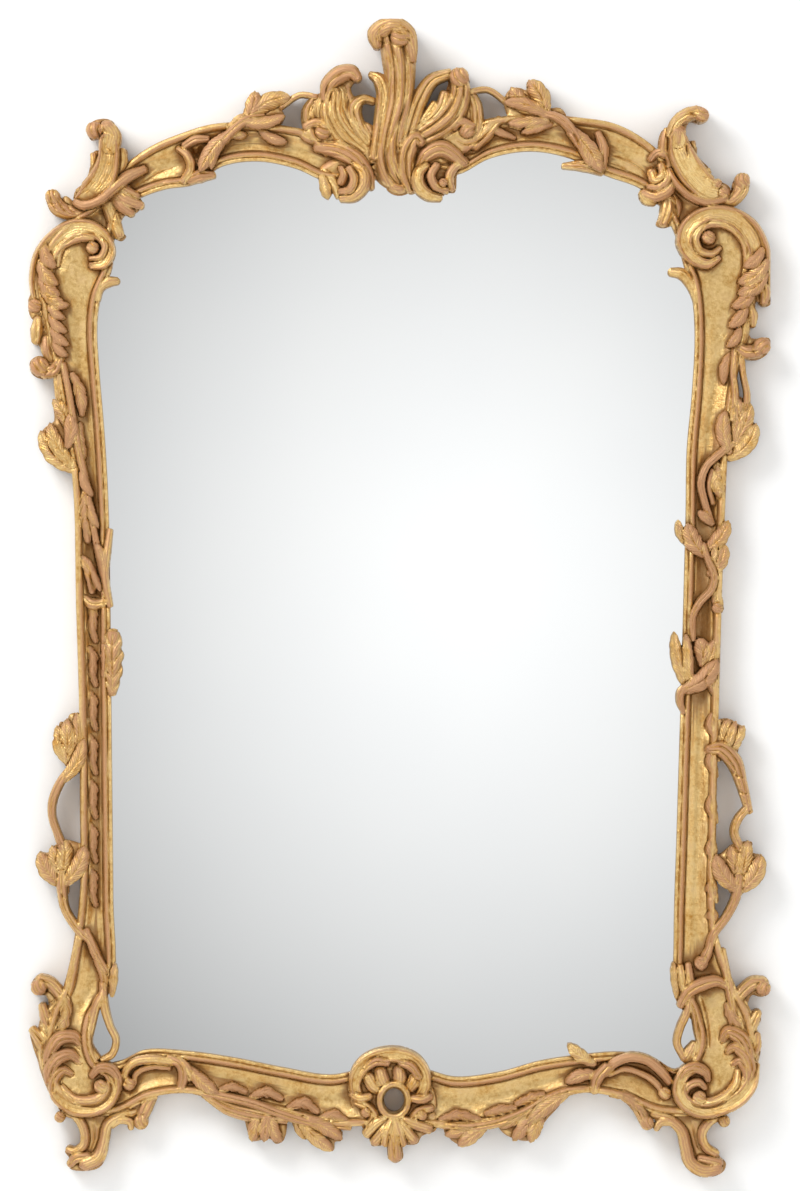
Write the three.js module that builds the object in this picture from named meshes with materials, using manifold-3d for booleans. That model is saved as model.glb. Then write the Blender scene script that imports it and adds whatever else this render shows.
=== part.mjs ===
import * as THREE from "three";
import { mergeVertices } from "three/addons/utils/BufferGeometryUtils.js";
import Module from "manifold-3d";

const wasm = await Module();
wasm.setup();

// A carved and gilt wooden wall mirror in the Rococo manner. Millimetres, +Z up, the front faces -Y.
// The wall is the plane y = 0, and every height in this file is measured from the wall towards the viewer.

// The carver's full-size drawing: places on it are [mm from its left edge, mm down from its top edge].
// The mount, which is the origin, is the point of the flat back behind the middle of the top rail.
const MOUNT_ACROSS = 398;
const MOUNT_DOWN = 150;

// Layers from the wall outwards.
const BOARD_BACK = 3;
const BOARD_THICKNESS = 6;
const GLASS_BACK = 9.3;
const GLASS_THICKNESS = 4;
const REBATE_HEIGHT = 14;
const REBATE_WIDTH = 8;
const PLATE_INSET = 5;

// The moulding between the sight edge and the outer edge.
const SIGHT_BEAD_WIDTH = 6;
const SIGHT_BEAD_HEIGHT = 25;
const OUTER_BEAD_WIDTH = 8;
const OUTER_BEAD_HEIGHT = 28;
const BEAD_SIDE_HEIGHT = 22;
const FILLET_HEIGHT = 18;
const COVE_HEIGHT = 16;
const COVE_LIP_HEIGHT = 19;

// Undersides of carving: clear of the glass, near the wall where it stands outside the rails, and between.
const OVER_GLASS = 14.2;
const FREE = 5;
const GROUND = 9;

// The two keyhole plates let into the back: where they are, their size and the room around and behind them.
const HANGER = { across: [66, 730], down: 276, width: 22, height: 50, thickness: 2, pocket: 6, gap: 0.5 };
const KEYHOLE = { slot: 2.5, eye: 7, top: -13, eyeTop: 10, bottom: 20 };

// The eye of the cartouche, which is cut right through.
const EYE = { across: 394, down: 1100, halfWidth: 10, halfHeight: 12, sides: 12 };

// Higher than any carving, for the cuts that go right through.
const ABOVE_ALL = 60;

// How many triangles the carved frame is cut down to.
const CARVED_FACES = 9100;

const place = (across, down, height) => [across - MOUNT_ACROSS, -height, MOUNT_DOWN - down];

// One closed body from a ring of points repeated along a path.
function loft(rings, closed = false) {
  const around = rings[0].length;
  const spans = closed ? rings.length : rings.length - 1;
  const triangles = [];
  for (let i = 0; i < spans; i++) {
    const a = i * around;
    const b = ((i + 1) % rings.length) * around;
    for (let j = 0; j < around; j++) {
      const k = (j + 1) % around;
      triangles.push(a + j, b + j, b + k, a + j, b + k, a + k);
    }
  }
  const last = (rings.length - 1) * around;
  for (let j = 1; j < around - 1 && !closed; j++) {
    triangles.push(0, j, j + 1, last, last + j + 1, last + j);
  }
  return body(rings.flat(), triangles);
}

function body(points, triangles) {
  const shape = (order) => new wasm.Manifold(
    new wasm.Mesh({
      numProp: 3,
      vertProperties: new Float32Array(points.flatMap((p) => place(...p))),
      triVerts: new Uint32Array(order),
    }),
  );
  const made = shape(triangles);
  return made.volume() > 0 ? made : shape(triangles.reverse());
}

// A smooth line through points of the drawing, cut into `steps` pieces a span.
function smooth(points, steps, closed = false) {
  const curve = new THREE.CatmullRomCurve3(points.map((p) => new THREE.Vector3(...p)), closed);
  const count = (closed ? points.length : points.length - 1) * steps;
  return Array.from({ length: closed ? count : count + 1 }, (_, i) => curve.getPoint(i / count));
}

// A carved ridge. Its points are [across, down, height, half width]. The back is one height or [first, last].
function ridge(points, back = OVER_GLASS, flutes = 1, steps = 2) {
  const line = smooth(points.map((p) => p.slice(0, 3)), steps);
  const backs = [back].flat();
  const rings = line.map((p, i) => {
    const along = i / steps;
    const span = Math.min(Math.floor(along), points.length - 2);
    const half = THREE.MathUtils.lerp(points[span][3], points[span + 1][3], along - span);
    const low = THREE.MathUtils.lerp(backs[0], backs.at(-1), i / (line.length - 1));
    const before = line[Math.max(i - 1, 0)];
    const after = line[Math.min(i + 1, line.length - 1)];
    const length = Math.hypot(after.x - before.x, after.y - before.y) || 1;
    const side = [-(after.y - before.y) / length, (after.x - before.x) / length];
    return section(half, p.z, low, flutes).map(([s, h]) => [p.x + side[0] * s, p.y + side[1] * s, h]);
  });
  return loft(rings);
}

// The cross-section of a ridge: two feet, two edges and a crown with a ridge for each flute.
function section(half, height, low, flutes) {
  const drop = Math.min(0.9 * half, 0.6 * (height - low));
  const groove = Math.min((0.6 * half) / flutes, 0.5 * drop);
  const points = [[-half, low]];
  const cuts = flutes === 1 ? 4 : 2 * flutes;
  for (let i = 0; i <= cuts; i++) {
    const s = (2 * i) / cuts - 1;
    const valley = flutes > 1 && i % 2 === 0 && i > 0 && i < cuts ? groove : 0;
    points.push([s * half, height - drop * s * s - valley]);
  }
  return [...points, [half, low]];
}

// A leaf blade from base to tip, both [across, down], with a ridge down its middle. It stands free with
// square edges where `back` is given, and otherwise lies on the ground below it.
function leaf(base, tip, half, height, back) {
  const run = [tip[0] - base[0], tip[1] - base[1]];
  const length = Math.hypot(...run);
  const side = [-run[1] / length, run[0] / length];
  const low = back ?? OVER_GLASS;
  return loft([[0, 0.5, -4], [0.45, 1, 0], [0.85, 0.6, 0], [1, 0.12, -3]].map(([along, width, rise]) => {
    const crown = height + rise;
    const edge = Math.max(crown - 0.9 * half, low + 1);
    const across = half * width;
    const blade = [[-across, back === undefined ? low : edge], [0, crown], [across, back === undefined ? low : edge]];
    const feet = back === undefined ? [] : [[across, low], [-across, low]];
    return [...blade, ...feet].map(([s, h]) => [
      base[0] + run[0] * along + side[0] * s, base[1] + run[1] * along + side[1] * s, h,
    ]);
  }));
}

// Leaves from one base to several tips.
const spray = (base, tips, half, height, back) => tips.map((tip) => leaf(base, tip, half, height, back));

// Leaves of one size set at equal steps from the first base to the last.
function row(first, last, count, reach, half, height, back) {
  return Array.from({ length: count }, (_, i) => {
    const root = [0, 1].map((k) => THREE.MathUtils.lerp(first[k], last[k], i / Math.max(count - 1, 1)));
    return leaf(root, [root[0] + reach[0], root[1] + reach[1]], half, height, back);
  });
}

// A rolled-over leaf tip, seen as a round boss.
function knob(centre, radius, height, back = OVER_GLASS) {
  const sides = 9;
  const waist = Math.max(height - 0.8 * radius, back + 1);
  const levels = [[back, 0.9], [waist, 1], [height - 0.25 * radius, 0.75], [height, 0.25]];
  return loft(levels.map(([h, share]) => Array.from({ length: sides }, (_, i) => {
    const turn = (2 * Math.PI * i) / sides;
    return [centre[0] + radius * share * Math.cos(turn), centre[1] + radius * share * Math.sin(turn), h];
  })));
}

// The flat ground that carved leaves stand on: an outline on the drawing, from one height up to another.
function ground(outline, height, low = 0) {
  const shape = new THREE.Shape(outline.map(([across, down]) => new THREE.Vector2(across, down)));
  const geometry = mergeVertices(
    new THREE.ExtrudeGeometry(shape, { depth: height - low, bevelEnabled: false })
      .translate(0, 0, low).deleteAttribute("normal").deleteAttribute("uv"),
  );
  const position = geometry.getAttribute("position");
  const points = Array.from({ length: position.count }, (_, i) =>
    [position.getX(i), position.getY(i), position.getZ(i)]);
  return body(points, Array.from(geometry.index.array));
}

// The line of the frame: [sight edge across, down, outer edge across, down], clockwise from the left rail.
const LINE = [
  [113, 985, 64, 985], [113, 900, 79, 905], [112, 800, 80, 800], [111, 700, 79, 700],
  [110, 600, 76, 600], [108, 500, 74, 500], [104, 430, 68, 440], [99, 370, 57, 385],
  [97, 325, 46, 325], [101, 296, 38, 285], [112, 268, 42, 255], [114, 240, 60, 230],
  [121, 214, 92, 206], [138, 199, 122, 168], [165, 189, 150, 147], [195, 184, 180, 134],
  [222, 166, 214, 124], [258, 161, 258, 123], [295, 168, 297, 128], [330, 182, 330, 136],
  [365, 176, 362, 140], [398, 170, 398, 140], [430, 172, 432, 138], [458, 174, 465, 127],
  [490, 158, 494, 118], [530, 151, 532, 115], [570, 158, 582, 118], [605, 175, 618, 125],
  [640, 188, 655, 148], [660, 206, 685, 186], [675, 234, 716, 208], [683, 262, 750, 228],
  [692, 295, 760, 262], [695, 335, 750, 310], [692, 395, 736, 385], [687, 450, 728, 450],
  [686, 510, 725, 510], [684, 590, 722, 590], [681, 700, 719, 700], [677, 830, 716, 830],
  [674, 940, 717, 930], [676, 1000, 735, 985], [694, 1025, 752, 1020], [693, 1052, 753, 1065],
  [676, 1069, 728, 1104], [652, 1057, 665, 1113], [620, 1052, 622, 1098], [580, 1055, 580, 1093],
  [540, 1061, 545, 1106], [500, 1072, 500, 1122], [455, 1077, 455, 1128], [428, 1070, 428, 1126],
  [394, 1062, 394, 1122], [358, 1070, 358, 1126], [330, 1075, 328, 1125], [280, 1067, 280, 1113],
  [235, 1058, 232, 1102], [185, 1051, 185, 1093], [145, 1050, 148, 1098], [120, 1061, 112, 1113],
  [100, 1062, 62, 1098], [91, 1040, 45, 1060], [95, 1014, 50, 1020],
];
const STEPS = 2;
const sightEdge = smooth(LINE.map(([a, d]) => [a, d, 0]), STEPS, true);
const outerEdge = smooth(LINE.map(([, , a, d]) => [a, d, 0]), STEPS, true);

// A point between the edges, a number of millimetres out from the sight edge.
function between(i, offset) {
  const width = sightEdge[i].distanceTo(outerEdge[i]);
  return sightEdge[i].clone().lerp(outerEdge[i], offset / width);
}

function outlineAt(offset) {
  return sightEdge.map((_, i) => between(i, offset)).map((point) => [point.x, point.y]);
}

function moulding() {
  return loft(sightEdge.map((edge, i) => {
    const width = edge.distanceTo(outerEdge[i]);
    const profile = [
      [0, 0],
      [0, BEAD_SIDE_HEIGHT],
      [SIGHT_BEAD_WIDTH / 2, SIGHT_BEAD_HEIGHT],
      [SIGHT_BEAD_WIDTH, BEAD_SIDE_HEIGHT],
      [SIGHT_BEAD_WIDTH + 1.5, FILLET_HEIGHT],
      [width * 0.45, COVE_HEIGHT],
      [width * 0.68, COVE_LIP_HEIGHT],
      [width - OUTER_BEAD_WIDTH, BEAD_SIDE_HEIGHT],
      [width - OUTER_BEAD_WIDTH / 2, OUTER_BEAD_HEIGHT],
      [width, BEAD_SIDE_HEIGHT],
      [width, 0],
    ];
    return profile.map(([offset, height]) => {
      const point = between(i, offset);
      return [point.x, point.y, height];
    });
  }), true);
}

function crest() {
  return [
    ground([
      [318, 142], [304, 128], [308, 112], [311, 98], [320, 93], [327, 84], [336, 74], [348, 68], [358, 72],
      [361, 78], [354, 84], [350, 88], [352, 97], [362, 97], [374, 98], [375, 104], [362, 106], [361, 121],
      [372, 126], [380, 150], [345, 165], [330, 152],
    ], 28, FREE),
    ground([
      [408, 128], [428, 127], [438, 112], [446, 93], [452, 84], [462, 70], [468, 76], [471, 92], [477, 100],
      [480, 112], [484, 118], [498, 118], [490, 134], [470, 150], [440, 165], [405, 165], [400, 145],
    ], 29, FREE),
    ground([
      [330, 165], [345, 160], [362, 163], [369, 178], [366, 190], [358, 197], [345, 201], [338, 198],
      [334, 188], [324, 197], [319, 180], [318, 172],
    ], 27, OVER_GLASS),
    ground([
      [416, 168], [425, 164], [440, 155], [462, 160], [456, 178], [455, 193], [447, 193], [441, 198],
      [428, 199], [418, 192], [415, 180],
    ], 28, OVER_GLASS),
    ground([
      [318, 142], [326, 122], [345, 112], [358, 124], [375, 128], [400, 118], [410, 130], [440, 128],
      [462, 116], [474, 130], [470, 152], [440, 165], [360, 165], [330, 152],
    ], 20),
    // the plume
    ridge([
      [395, 192, 21, 11], [394, 185, 28, 20], [391, 167, 33, 16], [390, 143, 37, 11], [395, 112, 41, 12], [400, 82, 45, 14.5],
      [400, 52, 50, 17], [394, 33, 53, 14],
    ], [OVER_GLASS, FREE], 4),
    ridge([[376, 44, 46, 3], [377, 31, 50, 5], [391, 26, 54, 5], [405, 31, 52, 6], [412, 46, 47, 4]], GROUND),
    knob([381, 36], 9, 50, FREE),
    knob([399, 38], 8, 57, GROUND),
    // left of the plume
    ridge([[381, 140, 28, 4], [384, 112, 31, 4.5], [384, 90, 33, 5], [377, 79, 32, 4.5], [370, 75, 29, 3]], FREE),
    ridge([[366, 138, 27, 5], [357, 118, 30, 7], [357, 104, 31, 6], [375, 99, 24, 3]], FREE),
    ridge([[354, 147, 29, 11], [338, 124, 34, 17], [331, 103, 35, 15], [336, 88, 34, 8]], FREE, 4),
    ridge([[330, 142, 25, 6], [311, 124, 27, 7], [312, 98, 26, 3]], FREE),
    ridge([[324, 102, 31, 4], [329, 87, 34, 5.5], [338, 75, 38, 6], [350, 70, 41, 5.5], [358, 75, 40, 4]], GROUND),
    knob([355, 76], 6.5, 43, GROUND),
    knob([322, 134], 8, 30),
    ridge([[322, 148, 25, 3], [342, 148, 30, 6], [360, 157, 33, 6], [370, 180, 28, 4]]),
    // the scroll that ends the left arch
    ridge([[341, 198, 28, 2.5], [354, 195, 33, 4.5], [363, 186, 35, 5], [363, 173, 35, 4.5], [354, 167, 33, 3]]),
    ridge([[338, 191, 31, 3], [349, 188, 36, 4], [350, 172, 35, 3]]),
    leaf([320, 176], [328, 197], 6, 27),
    // right of the plume
    ridge([[403, 142, 30, 4], [410, 113, 35, 6], [419, 93, 38, 8], [432, 78, 39, 6], [450, 72, 40, 5]], FREE),
    knob([459, 78], 9.5, 45, FREE),
    ridge([[406, 138, 29, 5], [438, 129, 35, 9], [456, 110, 37, 11], [461, 88, 39, 9]], FREE, 3),
    ridge([[416, 130, 27, 4], [434, 118, 29, 6], [439, 94, 28, 4]], FREE, 2),
    ridge([[440, 138, 26, 4], [464, 126, 29, 6], [474, 110, 30, 6], [471, 93, 30, 5]], FREE),
    knob([467, 131], 7, 31),
    leaf([474, 142], [500, 118], 7, 26),
    // the scroll that ends the right arch
    ridge([[411, 187, 28, 8], [407, 165, 33, 9], [412, 147, 36, 8], [421, 137, 35, 4]], [OVER_GLASS, GROUND], 2),
    ridge([[421, 164, 30, 3], [430, 151, 33, 6], [445, 148, 33, 6], [466, 162, 26, 3]]),
    ridge([[443, 196, 28, 2.5], [430, 194, 33, 4.5], [421, 185, 35, 5.5], [421, 173, 36, 5], [430, 167, 33, 3]]),
    ridge([[444, 192, 30, 3], [435, 184, 35, 4], [438, 167, 34, 3]]),
    ridge([[447, 192, 28, 3], [447, 178, 32, 4], [462, 161, 28, 3]]),
    leaf([457, 172], [451, 193], 4, 27),
    // the shoots that join the crest to the vines
    ridge([[316, 98, 29, 3], [300, 95, 26, 2.5], [281, 107, 26, 2.5]], FREE),
    ridge([[470, 93, 31, 3], [488, 90, 28, 2.5], [508, 104, 27, 3]], FREE),
  ];
}

function archVines() {
  return [
    ground([
      [232, 122], [246, 112], [251, 96], [258, 92], [263, 98], [285, 95], [289, 98], [281, 108], [284, 114],
      [282, 123], [262, 128], [240, 128],
    ], 26, FREE),
    ground([
      [505, 96], [512, 88], [520, 88], [526, 90], [527, 82], [533, 81], [540, 92], [544, 108], [560, 108],
      [566, 116], [560, 125], [510, 128], [507, 115], [504, 105],
    ], 27, FREE),
    // left arch
    leaf([246, 118], [256, 93], 7, 31, FREE),
    leaf([249, 116], [289, 97], 8, 30, FREE),
    leaf([248, 117], [284, 114], 5, 33, GROUND),
    leaf([230, 128], [248, 114], 4, 31, FREE),
    ridge([[252, 121, 29, 3], [234, 124, 32, 4], [214, 147, 33, 6], [199, 172, 29, 4]], GROUND, 2),
    leaf([192, 178], [213, 175], 6, 27),
    leaf([180, 150], [207, 140], 4.5, 31),
    ridge([[180, 148, 27, 2], [189, 165, 29, 3.5], [184, 182, 27, 3]]),
    // right arch
    leaf([543, 111], [530, 82], 8, 31, FREE),
    leaf([540, 112], [511, 89], 7, 30, FREE),
    leaf([546, 115], [506, 107], 6, 33, FREE),
    leaf([548, 119], [514, 126], 5, 30),
    ridge([[546, 114, 30, 3], [562, 117, 33, 5], [578, 135, 34, 8], [599, 172, 29, 4]], GROUND, 2),
    leaf([602, 170], [564, 166], 5.5, 28),
    ridge([[601, 172, 28, 3], [607, 152, 32, 4.5], [605, 134, 30, 2.5]]),
  ];
}

function topLeftCorner() {
  return [
    ground([
      [74, 207], [77, 190], [85, 186], [92, 176], [92, 158], [97, 152], [101, 150], [99, 138], [90, 140],
      [88, 130], [92, 122], [102, 119], [112, 121], [119, 132], [121, 147], [128, 152], [128, 166],
      [140, 170], [128, 184], [112, 200], [92, 208], [80, 211],
    ], 31, FREE),
    ground([
      [46, 196], [50, 190], [57, 191], [60, 199], [66, 198], [78, 212], [85, 214], [80, 222], [66, 219],
      [54, 212], [48, 205],
    ], 27, FREE),
    ground([
      [113, 190], [120, 180], [138, 195], [143, 205], [132, 215], [124, 216], [120, 230], [126, 236],
      [121, 241], [113, 236], [111, 215],
    ], 25, OVER_GLASS),
    ground([
      [28, 300], [31, 318], [36, 322], [31, 340], [38, 345], [44, 352], [52, 366], [62, 360], [60, 330],
      [50, 300], [40, 285],
    ], 24, 0),
    ground([
      [30, 362], [38, 356], [52, 358], [60, 350], [62, 365], [56, 376], [42, 379], [32, 374],
    ], 27, FREE),
    // the horned leaf
    ridge([[80, 205, 31, 4], [93, 194, 36, 9], [104, 176, 38, 12], [110, 155, 40, 10], [110, 137, 42, 8.5]],
      [OVER_GLASS, FREE], 2),
    ridge([[110, 160, 40, 6], [114, 138, 43, 6], [106, 126, 45, 6], [96, 129, 44, 5]], FREE),
    knob([95, 131], 7.5, 44, FREE),
    ridge([[80, 191, 31, 3.5], [94, 176, 35, 3.5], [96, 155, 34, 2.5]], FREE),
    leaf([117, 170], [124, 148], 5, 34, FREE),
    ridge([[76, 204, 33, 3], [98, 202, 37, 3.5], [124, 179, 34, 3.5], [145, 169, 26, 2]]),
    ridge([[86, 216, 28, 4], [66, 213, 31, 5.5], [56, 207, 33, 6], [53, 198, 34, 6]], FREE),
    knob([53, 198], 6.5, 36, FREE),
    // the fan and the drop in the inner corner
    ...spray([114, 194], [[139, 197], [142, 206], [131, 214]], 5, 30),
    ridge([[115, 204, 27, 4], [118, 215, 28, 6], [119, 236, 28, 5]]),
    // the C-scroll
    ridge([[36, 306, 22, 4], [35, 284, 27, 7], [41, 257, 31, 7], [54, 238, 34, 6.5], [73, 226, 35, 6],
      [93, 227, 35, 5.5], [107, 237, 35, 5], [113, 251, 34, 4.5], [107, 264, 32, 4.5], [94, 269, 29, 3.5]],
    [0, OVER_GLASS]),
    ridge([[57, 264, 26, 3], [63, 243, 30, 4], [84, 236, 33, 4], [103, 247, 35, 4], [90, 264, 30, 3]]),
    knob([94, 248], 6.5, 37),
    leaf([98, 285], [118, 281], 4.5, 26),
    // the leafy rib below it
    ...row([42, 260], [54, 318], 5, [17, 13], 6, 31),
    ridge([[42, 298, 24, 6], [43, 322, 26, 9], [49, 345, 27, 8], [56, 364, 28, 5]], 0),
    leaf([38, 292], [38, 314], 6.5, 28, FREE),
    leaf([44, 316], [35, 344], 7, 28, FREE),
    leaf([50, 332], [44, 354], 5, 28, FREE),
    ridge([[60, 358, 27, 4], [51, 371, 32, 6], [38, 372, 34, 6], [37, 362, 34, 4]], FREE),
  ];
}

function topRightCorner() {
  return [
    ground([
      [728, 200], [716, 206], [700, 205], [686, 197], [672, 180], [664, 160], [660, 150], [662, 132],
      [668, 126], [674, 116], [684, 109], [698, 106], [708, 112], [708, 120], [700, 124], [690, 120],
      [686, 128], [687, 141], [695, 141], [697, 155], [710, 170], [711, 178], [721, 182], [730, 188],
    ], 31, FREE),
    ground([
      [720, 205], [730, 196], [735, 180], [740, 174], [747, 175], [750, 184], [745, 196], [735, 203],
    ], 27, FREE),
    ground([
      [640, 190], [650, 182], [668, 182], [676, 195], [682, 205], [676, 222], [664, 228], [656, 225],
      [658, 218], [660, 205], [645, 204], [639, 199],
    ], 25, OVER_GLASS),
    ground([
      [770, 285], [770, 305], [761, 306], [757, 300], [755, 312], [756, 325], [750, 327], [751, 338],
      [769, 338], [770, 350], [760, 359], [745, 359], [734, 350], [734, 330], [740, 300], [755, 280],
    ], 24, 0),
    // the horned leaf
    ridge([[726, 195, 31, 6], [709, 191, 35, 10], [691, 172, 38, 13], [680, 150, 40, 11], [678, 132, 42, 8]],
      [OVER_GLASS, FREE], 2),
    ridge([[676, 150, 40, 5], [672, 131, 42, 6], [682, 118, 44, 6.5], [697, 113, 45, 5.5]], FREE),
    knob([700, 116], 7, 46, FREE),
    leaf([684, 168], [693, 141], 5, 35, FREE),
    leaf([698, 186], [709, 171], 5, 34, FREE),
    leaf([666, 158], [665, 130], 4.5, 34, FREE),
    ridge([[664, 158, 29, 3], [674, 180, 36, 3.5], [698, 202, 37, 3.5], [728, 199, 31, 2.5]]),
    ridge([[720, 203, 28, 4], [736, 199, 31, 5.5], [743, 182, 34, 5.5]], FREE),
    knob([742, 180], 6.5, 36, FREE),
    // the roll, the fan and the drop in the inner corner
    ridge([[648, 187, 29, 3], [661, 184, 34, 4.5], [660, 168, 34, 4.5], [644, 162, 25, 2.5]]),
    ridge([[673, 186, 30, 4], [658, 199, 33, 5.5], [642, 198, 27, 3]]),
    ridge([[669, 200, 27, 5], [668, 212, 28, 7], [662, 224, 27, 5]]),
    // the C-scroll
    ridge([[764, 300, 22, 4], [764, 272, 28, 6.5], [760, 248, 32, 7], [748, 226, 35, 6.5], [728, 213, 36, 6],
      [706, 213, 36, 5.5], [689, 224, 36, 5.5], [683, 242, 36, 5], [691, 258, 34, 4.5], [706, 264, 33, 4],
      [718, 257, 30, 3]], [0, OVER_GLASS]),
    ridge([[743, 282, 25, 2.5], [746, 243, 31, 3.5], [730, 224, 33, 4], [706, 222, 35, 4], [695, 238, 36, 4],
      [705, 252, 35, 4], [718, 247, 32, 3]]),
    knob([708, 237], 7, 38),
    leaf([690, 281], [669, 276], 5, 26),
    // the leafy rib below it
    ...row([764, 262], [744, 310], 4, [-19, 13], 6, 31),
    ridge([[752, 285, 26, 8], [747, 312, 27, 9], [743, 335, 28, 8], [742, 346, 28, 5]], 0),
    leaf([757, 282], [767, 307], 7, 28, FREE),
    leaf([746, 302], [754, 327], 6, 28, FREE),
    ridge([[736, 345, 28, 5], [748, 350, 32, 7], [764, 344, 33, 6]], FREE),
  ];
}

function leftRail() {
  return [
    ground([
      [52, 400], [58, 399], [66, 412], [76, 425], [84, 455], [78, 468], [70, 466], [55, 455], [45, 443],
      [41, 433], [48, 424], [54, 421],
    ], 24, FREE),
    ground([
      [54, 736], [58, 729], [60, 722], [66, 722], [70, 714], [79, 714], [82, 735], [76, 752], [62, 755],
    ], 23, FREE),
    ground([
      [40, 852], [47, 853], [55, 845], [66, 840], [78, 843], [87, 846], [84, 860], [70, 880], [68, 895],
      [58, 895], [55, 882], [46, 868],
    ], 24, FREE),
    ridge([[57, 362, 26, 3], [57, 398, 27, 3], [68, 424, 29, 3]], FREE),
    ridge([[64, 362, 28, 3], [71, 408, 31, 3.5], [80, 460, 31, 4], [90, 505, 28, 3]], GROUND),
    leaf([68, 425], [53, 400], 6, 29, FREE),
    leaf([70, 449], [46, 423], 6, 29, FREE),
    leaf([75, 469], [42, 433], 8, 29, FREE),
    leaf([73, 416], [69, 445], 6, 33),
    leaf([73, 376], [84, 411], 5.5, 26),
    leaf([79, 425], [87, 461], 5.5, 26),
    ridge([[83, 480, 26, 3], [86, 515, 28, 5], [84, 545, 26, 3]]),
    ridge([[92, 500, 27, 3], [97, 545, 29, 4], [97, 592, 26, 3]]),
    ridge([[106, 540, 28, 3], [103, 570, 29, 3], [109, 598, 27, 2.5]]),
    ...spray([113, 690], [[107, 630], [119, 632]], 7, 31),
    // the leaflets in the hollow of the rail
    ...row([91, 605], [90, 870], 7, [0, 38], 7, 22),
    // the lower vine
    ...spray([69, 762], [[77, 714], [62, 724], [54, 738]], 7, 27, FREE),
    leaf([61, 779], [83, 740], 6.5, 29, FREE),
    ridge([[82, 764, 26, 3], [63, 780, 28, 4], [56, 803, 28, 4], [63, 843, 28, 5]], FREE),
    leaf([61, 885], [41, 852], 8, 30, FREE),
    leaf([62, 882], [58, 842], 9, 28, FREE),
    leaf([64, 882], [84, 849], 8, 31, FREE),
    ridge([[61, 876, 27, 4], [62, 893, 28, 5.5], [77, 923, 29, 4], [98, 951, 26, 3]], FREE),
  ];
}

function rightRail() {
  return [
    ground([
      [721, 412], [728, 408], [738, 400], [750, 405], [748, 420], [756, 425], [752, 438], [742, 450],
      [728, 457], [722, 445],
    ], 25, FREE),
    ground([
      [719, 720], [730, 719], [738, 724], [744, 727], [740, 745], [735, 757], [724, 760], [712, 762],
      [706, 752], [716, 745],
    ], 23, FREE),
    ground([
      [715, 857], [722, 853], [730, 846], [737, 843], [752, 842], [752, 852], [762, 856], [758, 870],
      [746, 882], [742, 895], [732, 895], [724, 880],
    ], 25, FREE),
    ridge([[742, 350, 26, 3], [746, 380, 27, 3], [742, 404, 28, 4]], FREE),
    ridge([[735, 346, 28, 3], [733, 380, 29, 3], [735, 406, 30, 4]], FREE),
    leaf([729, 456], [724, 411], 7, 32),
    leaf([731, 454], [750, 407], 8, 30, FREE),
    leaf([729, 457], [755, 426], 7, 30, FREE),
    leaf([727, 352], [725, 384], 5, 26),
    ridge([[730, 450, 29, 4], [708, 466, 31, 4], [702, 488, 31, 4], [711, 530, 28, 3]], GROUND),
    leaf([712, 463], [721, 499], 6.5, 29),
    leaf([698, 553], [692, 525], 8, 31),
    leaf([684, 546], [678, 521], 4, 29),
    leaf([709, 549], [725, 522], 7, 29),
    leaf([712, 576], [723, 546], 7, 28),
    ridge([[708, 558, 28, 3], [716, 582, 30, 3.5], [697, 614, 30, 3.5], [694, 642, 28, 3]], GROUND),
    ...spray([684, 694], [[675, 632], [686, 632]], 5, 31),
    leaf([684, 691], [717, 659], 8, 31),
    leaf([694, 670], [699, 639], 8, 29),
    leaf([684, 686], [681, 711], 4, 29),
    // the leaflets in the hollow of the rail
    ...row([712, 670], [711, 880], 6, [-2, 34], 5.5, 22),
    // the lower vine
    ...spray([730, 757], [[723, 720], [743, 727]], 6.5, 28, FREE),
    ridge([[706, 752, 28, 4], [722, 756, 31, 7], [735, 772, 31, 7.5], [748, 809, 29, 4]], FREE, 2),
    ridge([[747, 804, 28, 4], [737, 822, 28, 5], [737, 850, 28, 5]], FREE),
    leaf([739, 889], [717, 856], 8, 31, FREE),
    leaf([738, 889], [733, 845], 7, 28, FREE),
    leaf([740, 889], [753, 844], 8, 28, FREE),
    leaf([739, 891], [761, 856], 8, 30, FREE),
    ridge([[738, 882, 28, 5], [733, 908, 28, 4], [712, 936, 29, 4], [706, 960, 28, 3.5]], FREE),
  ];
}

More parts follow.
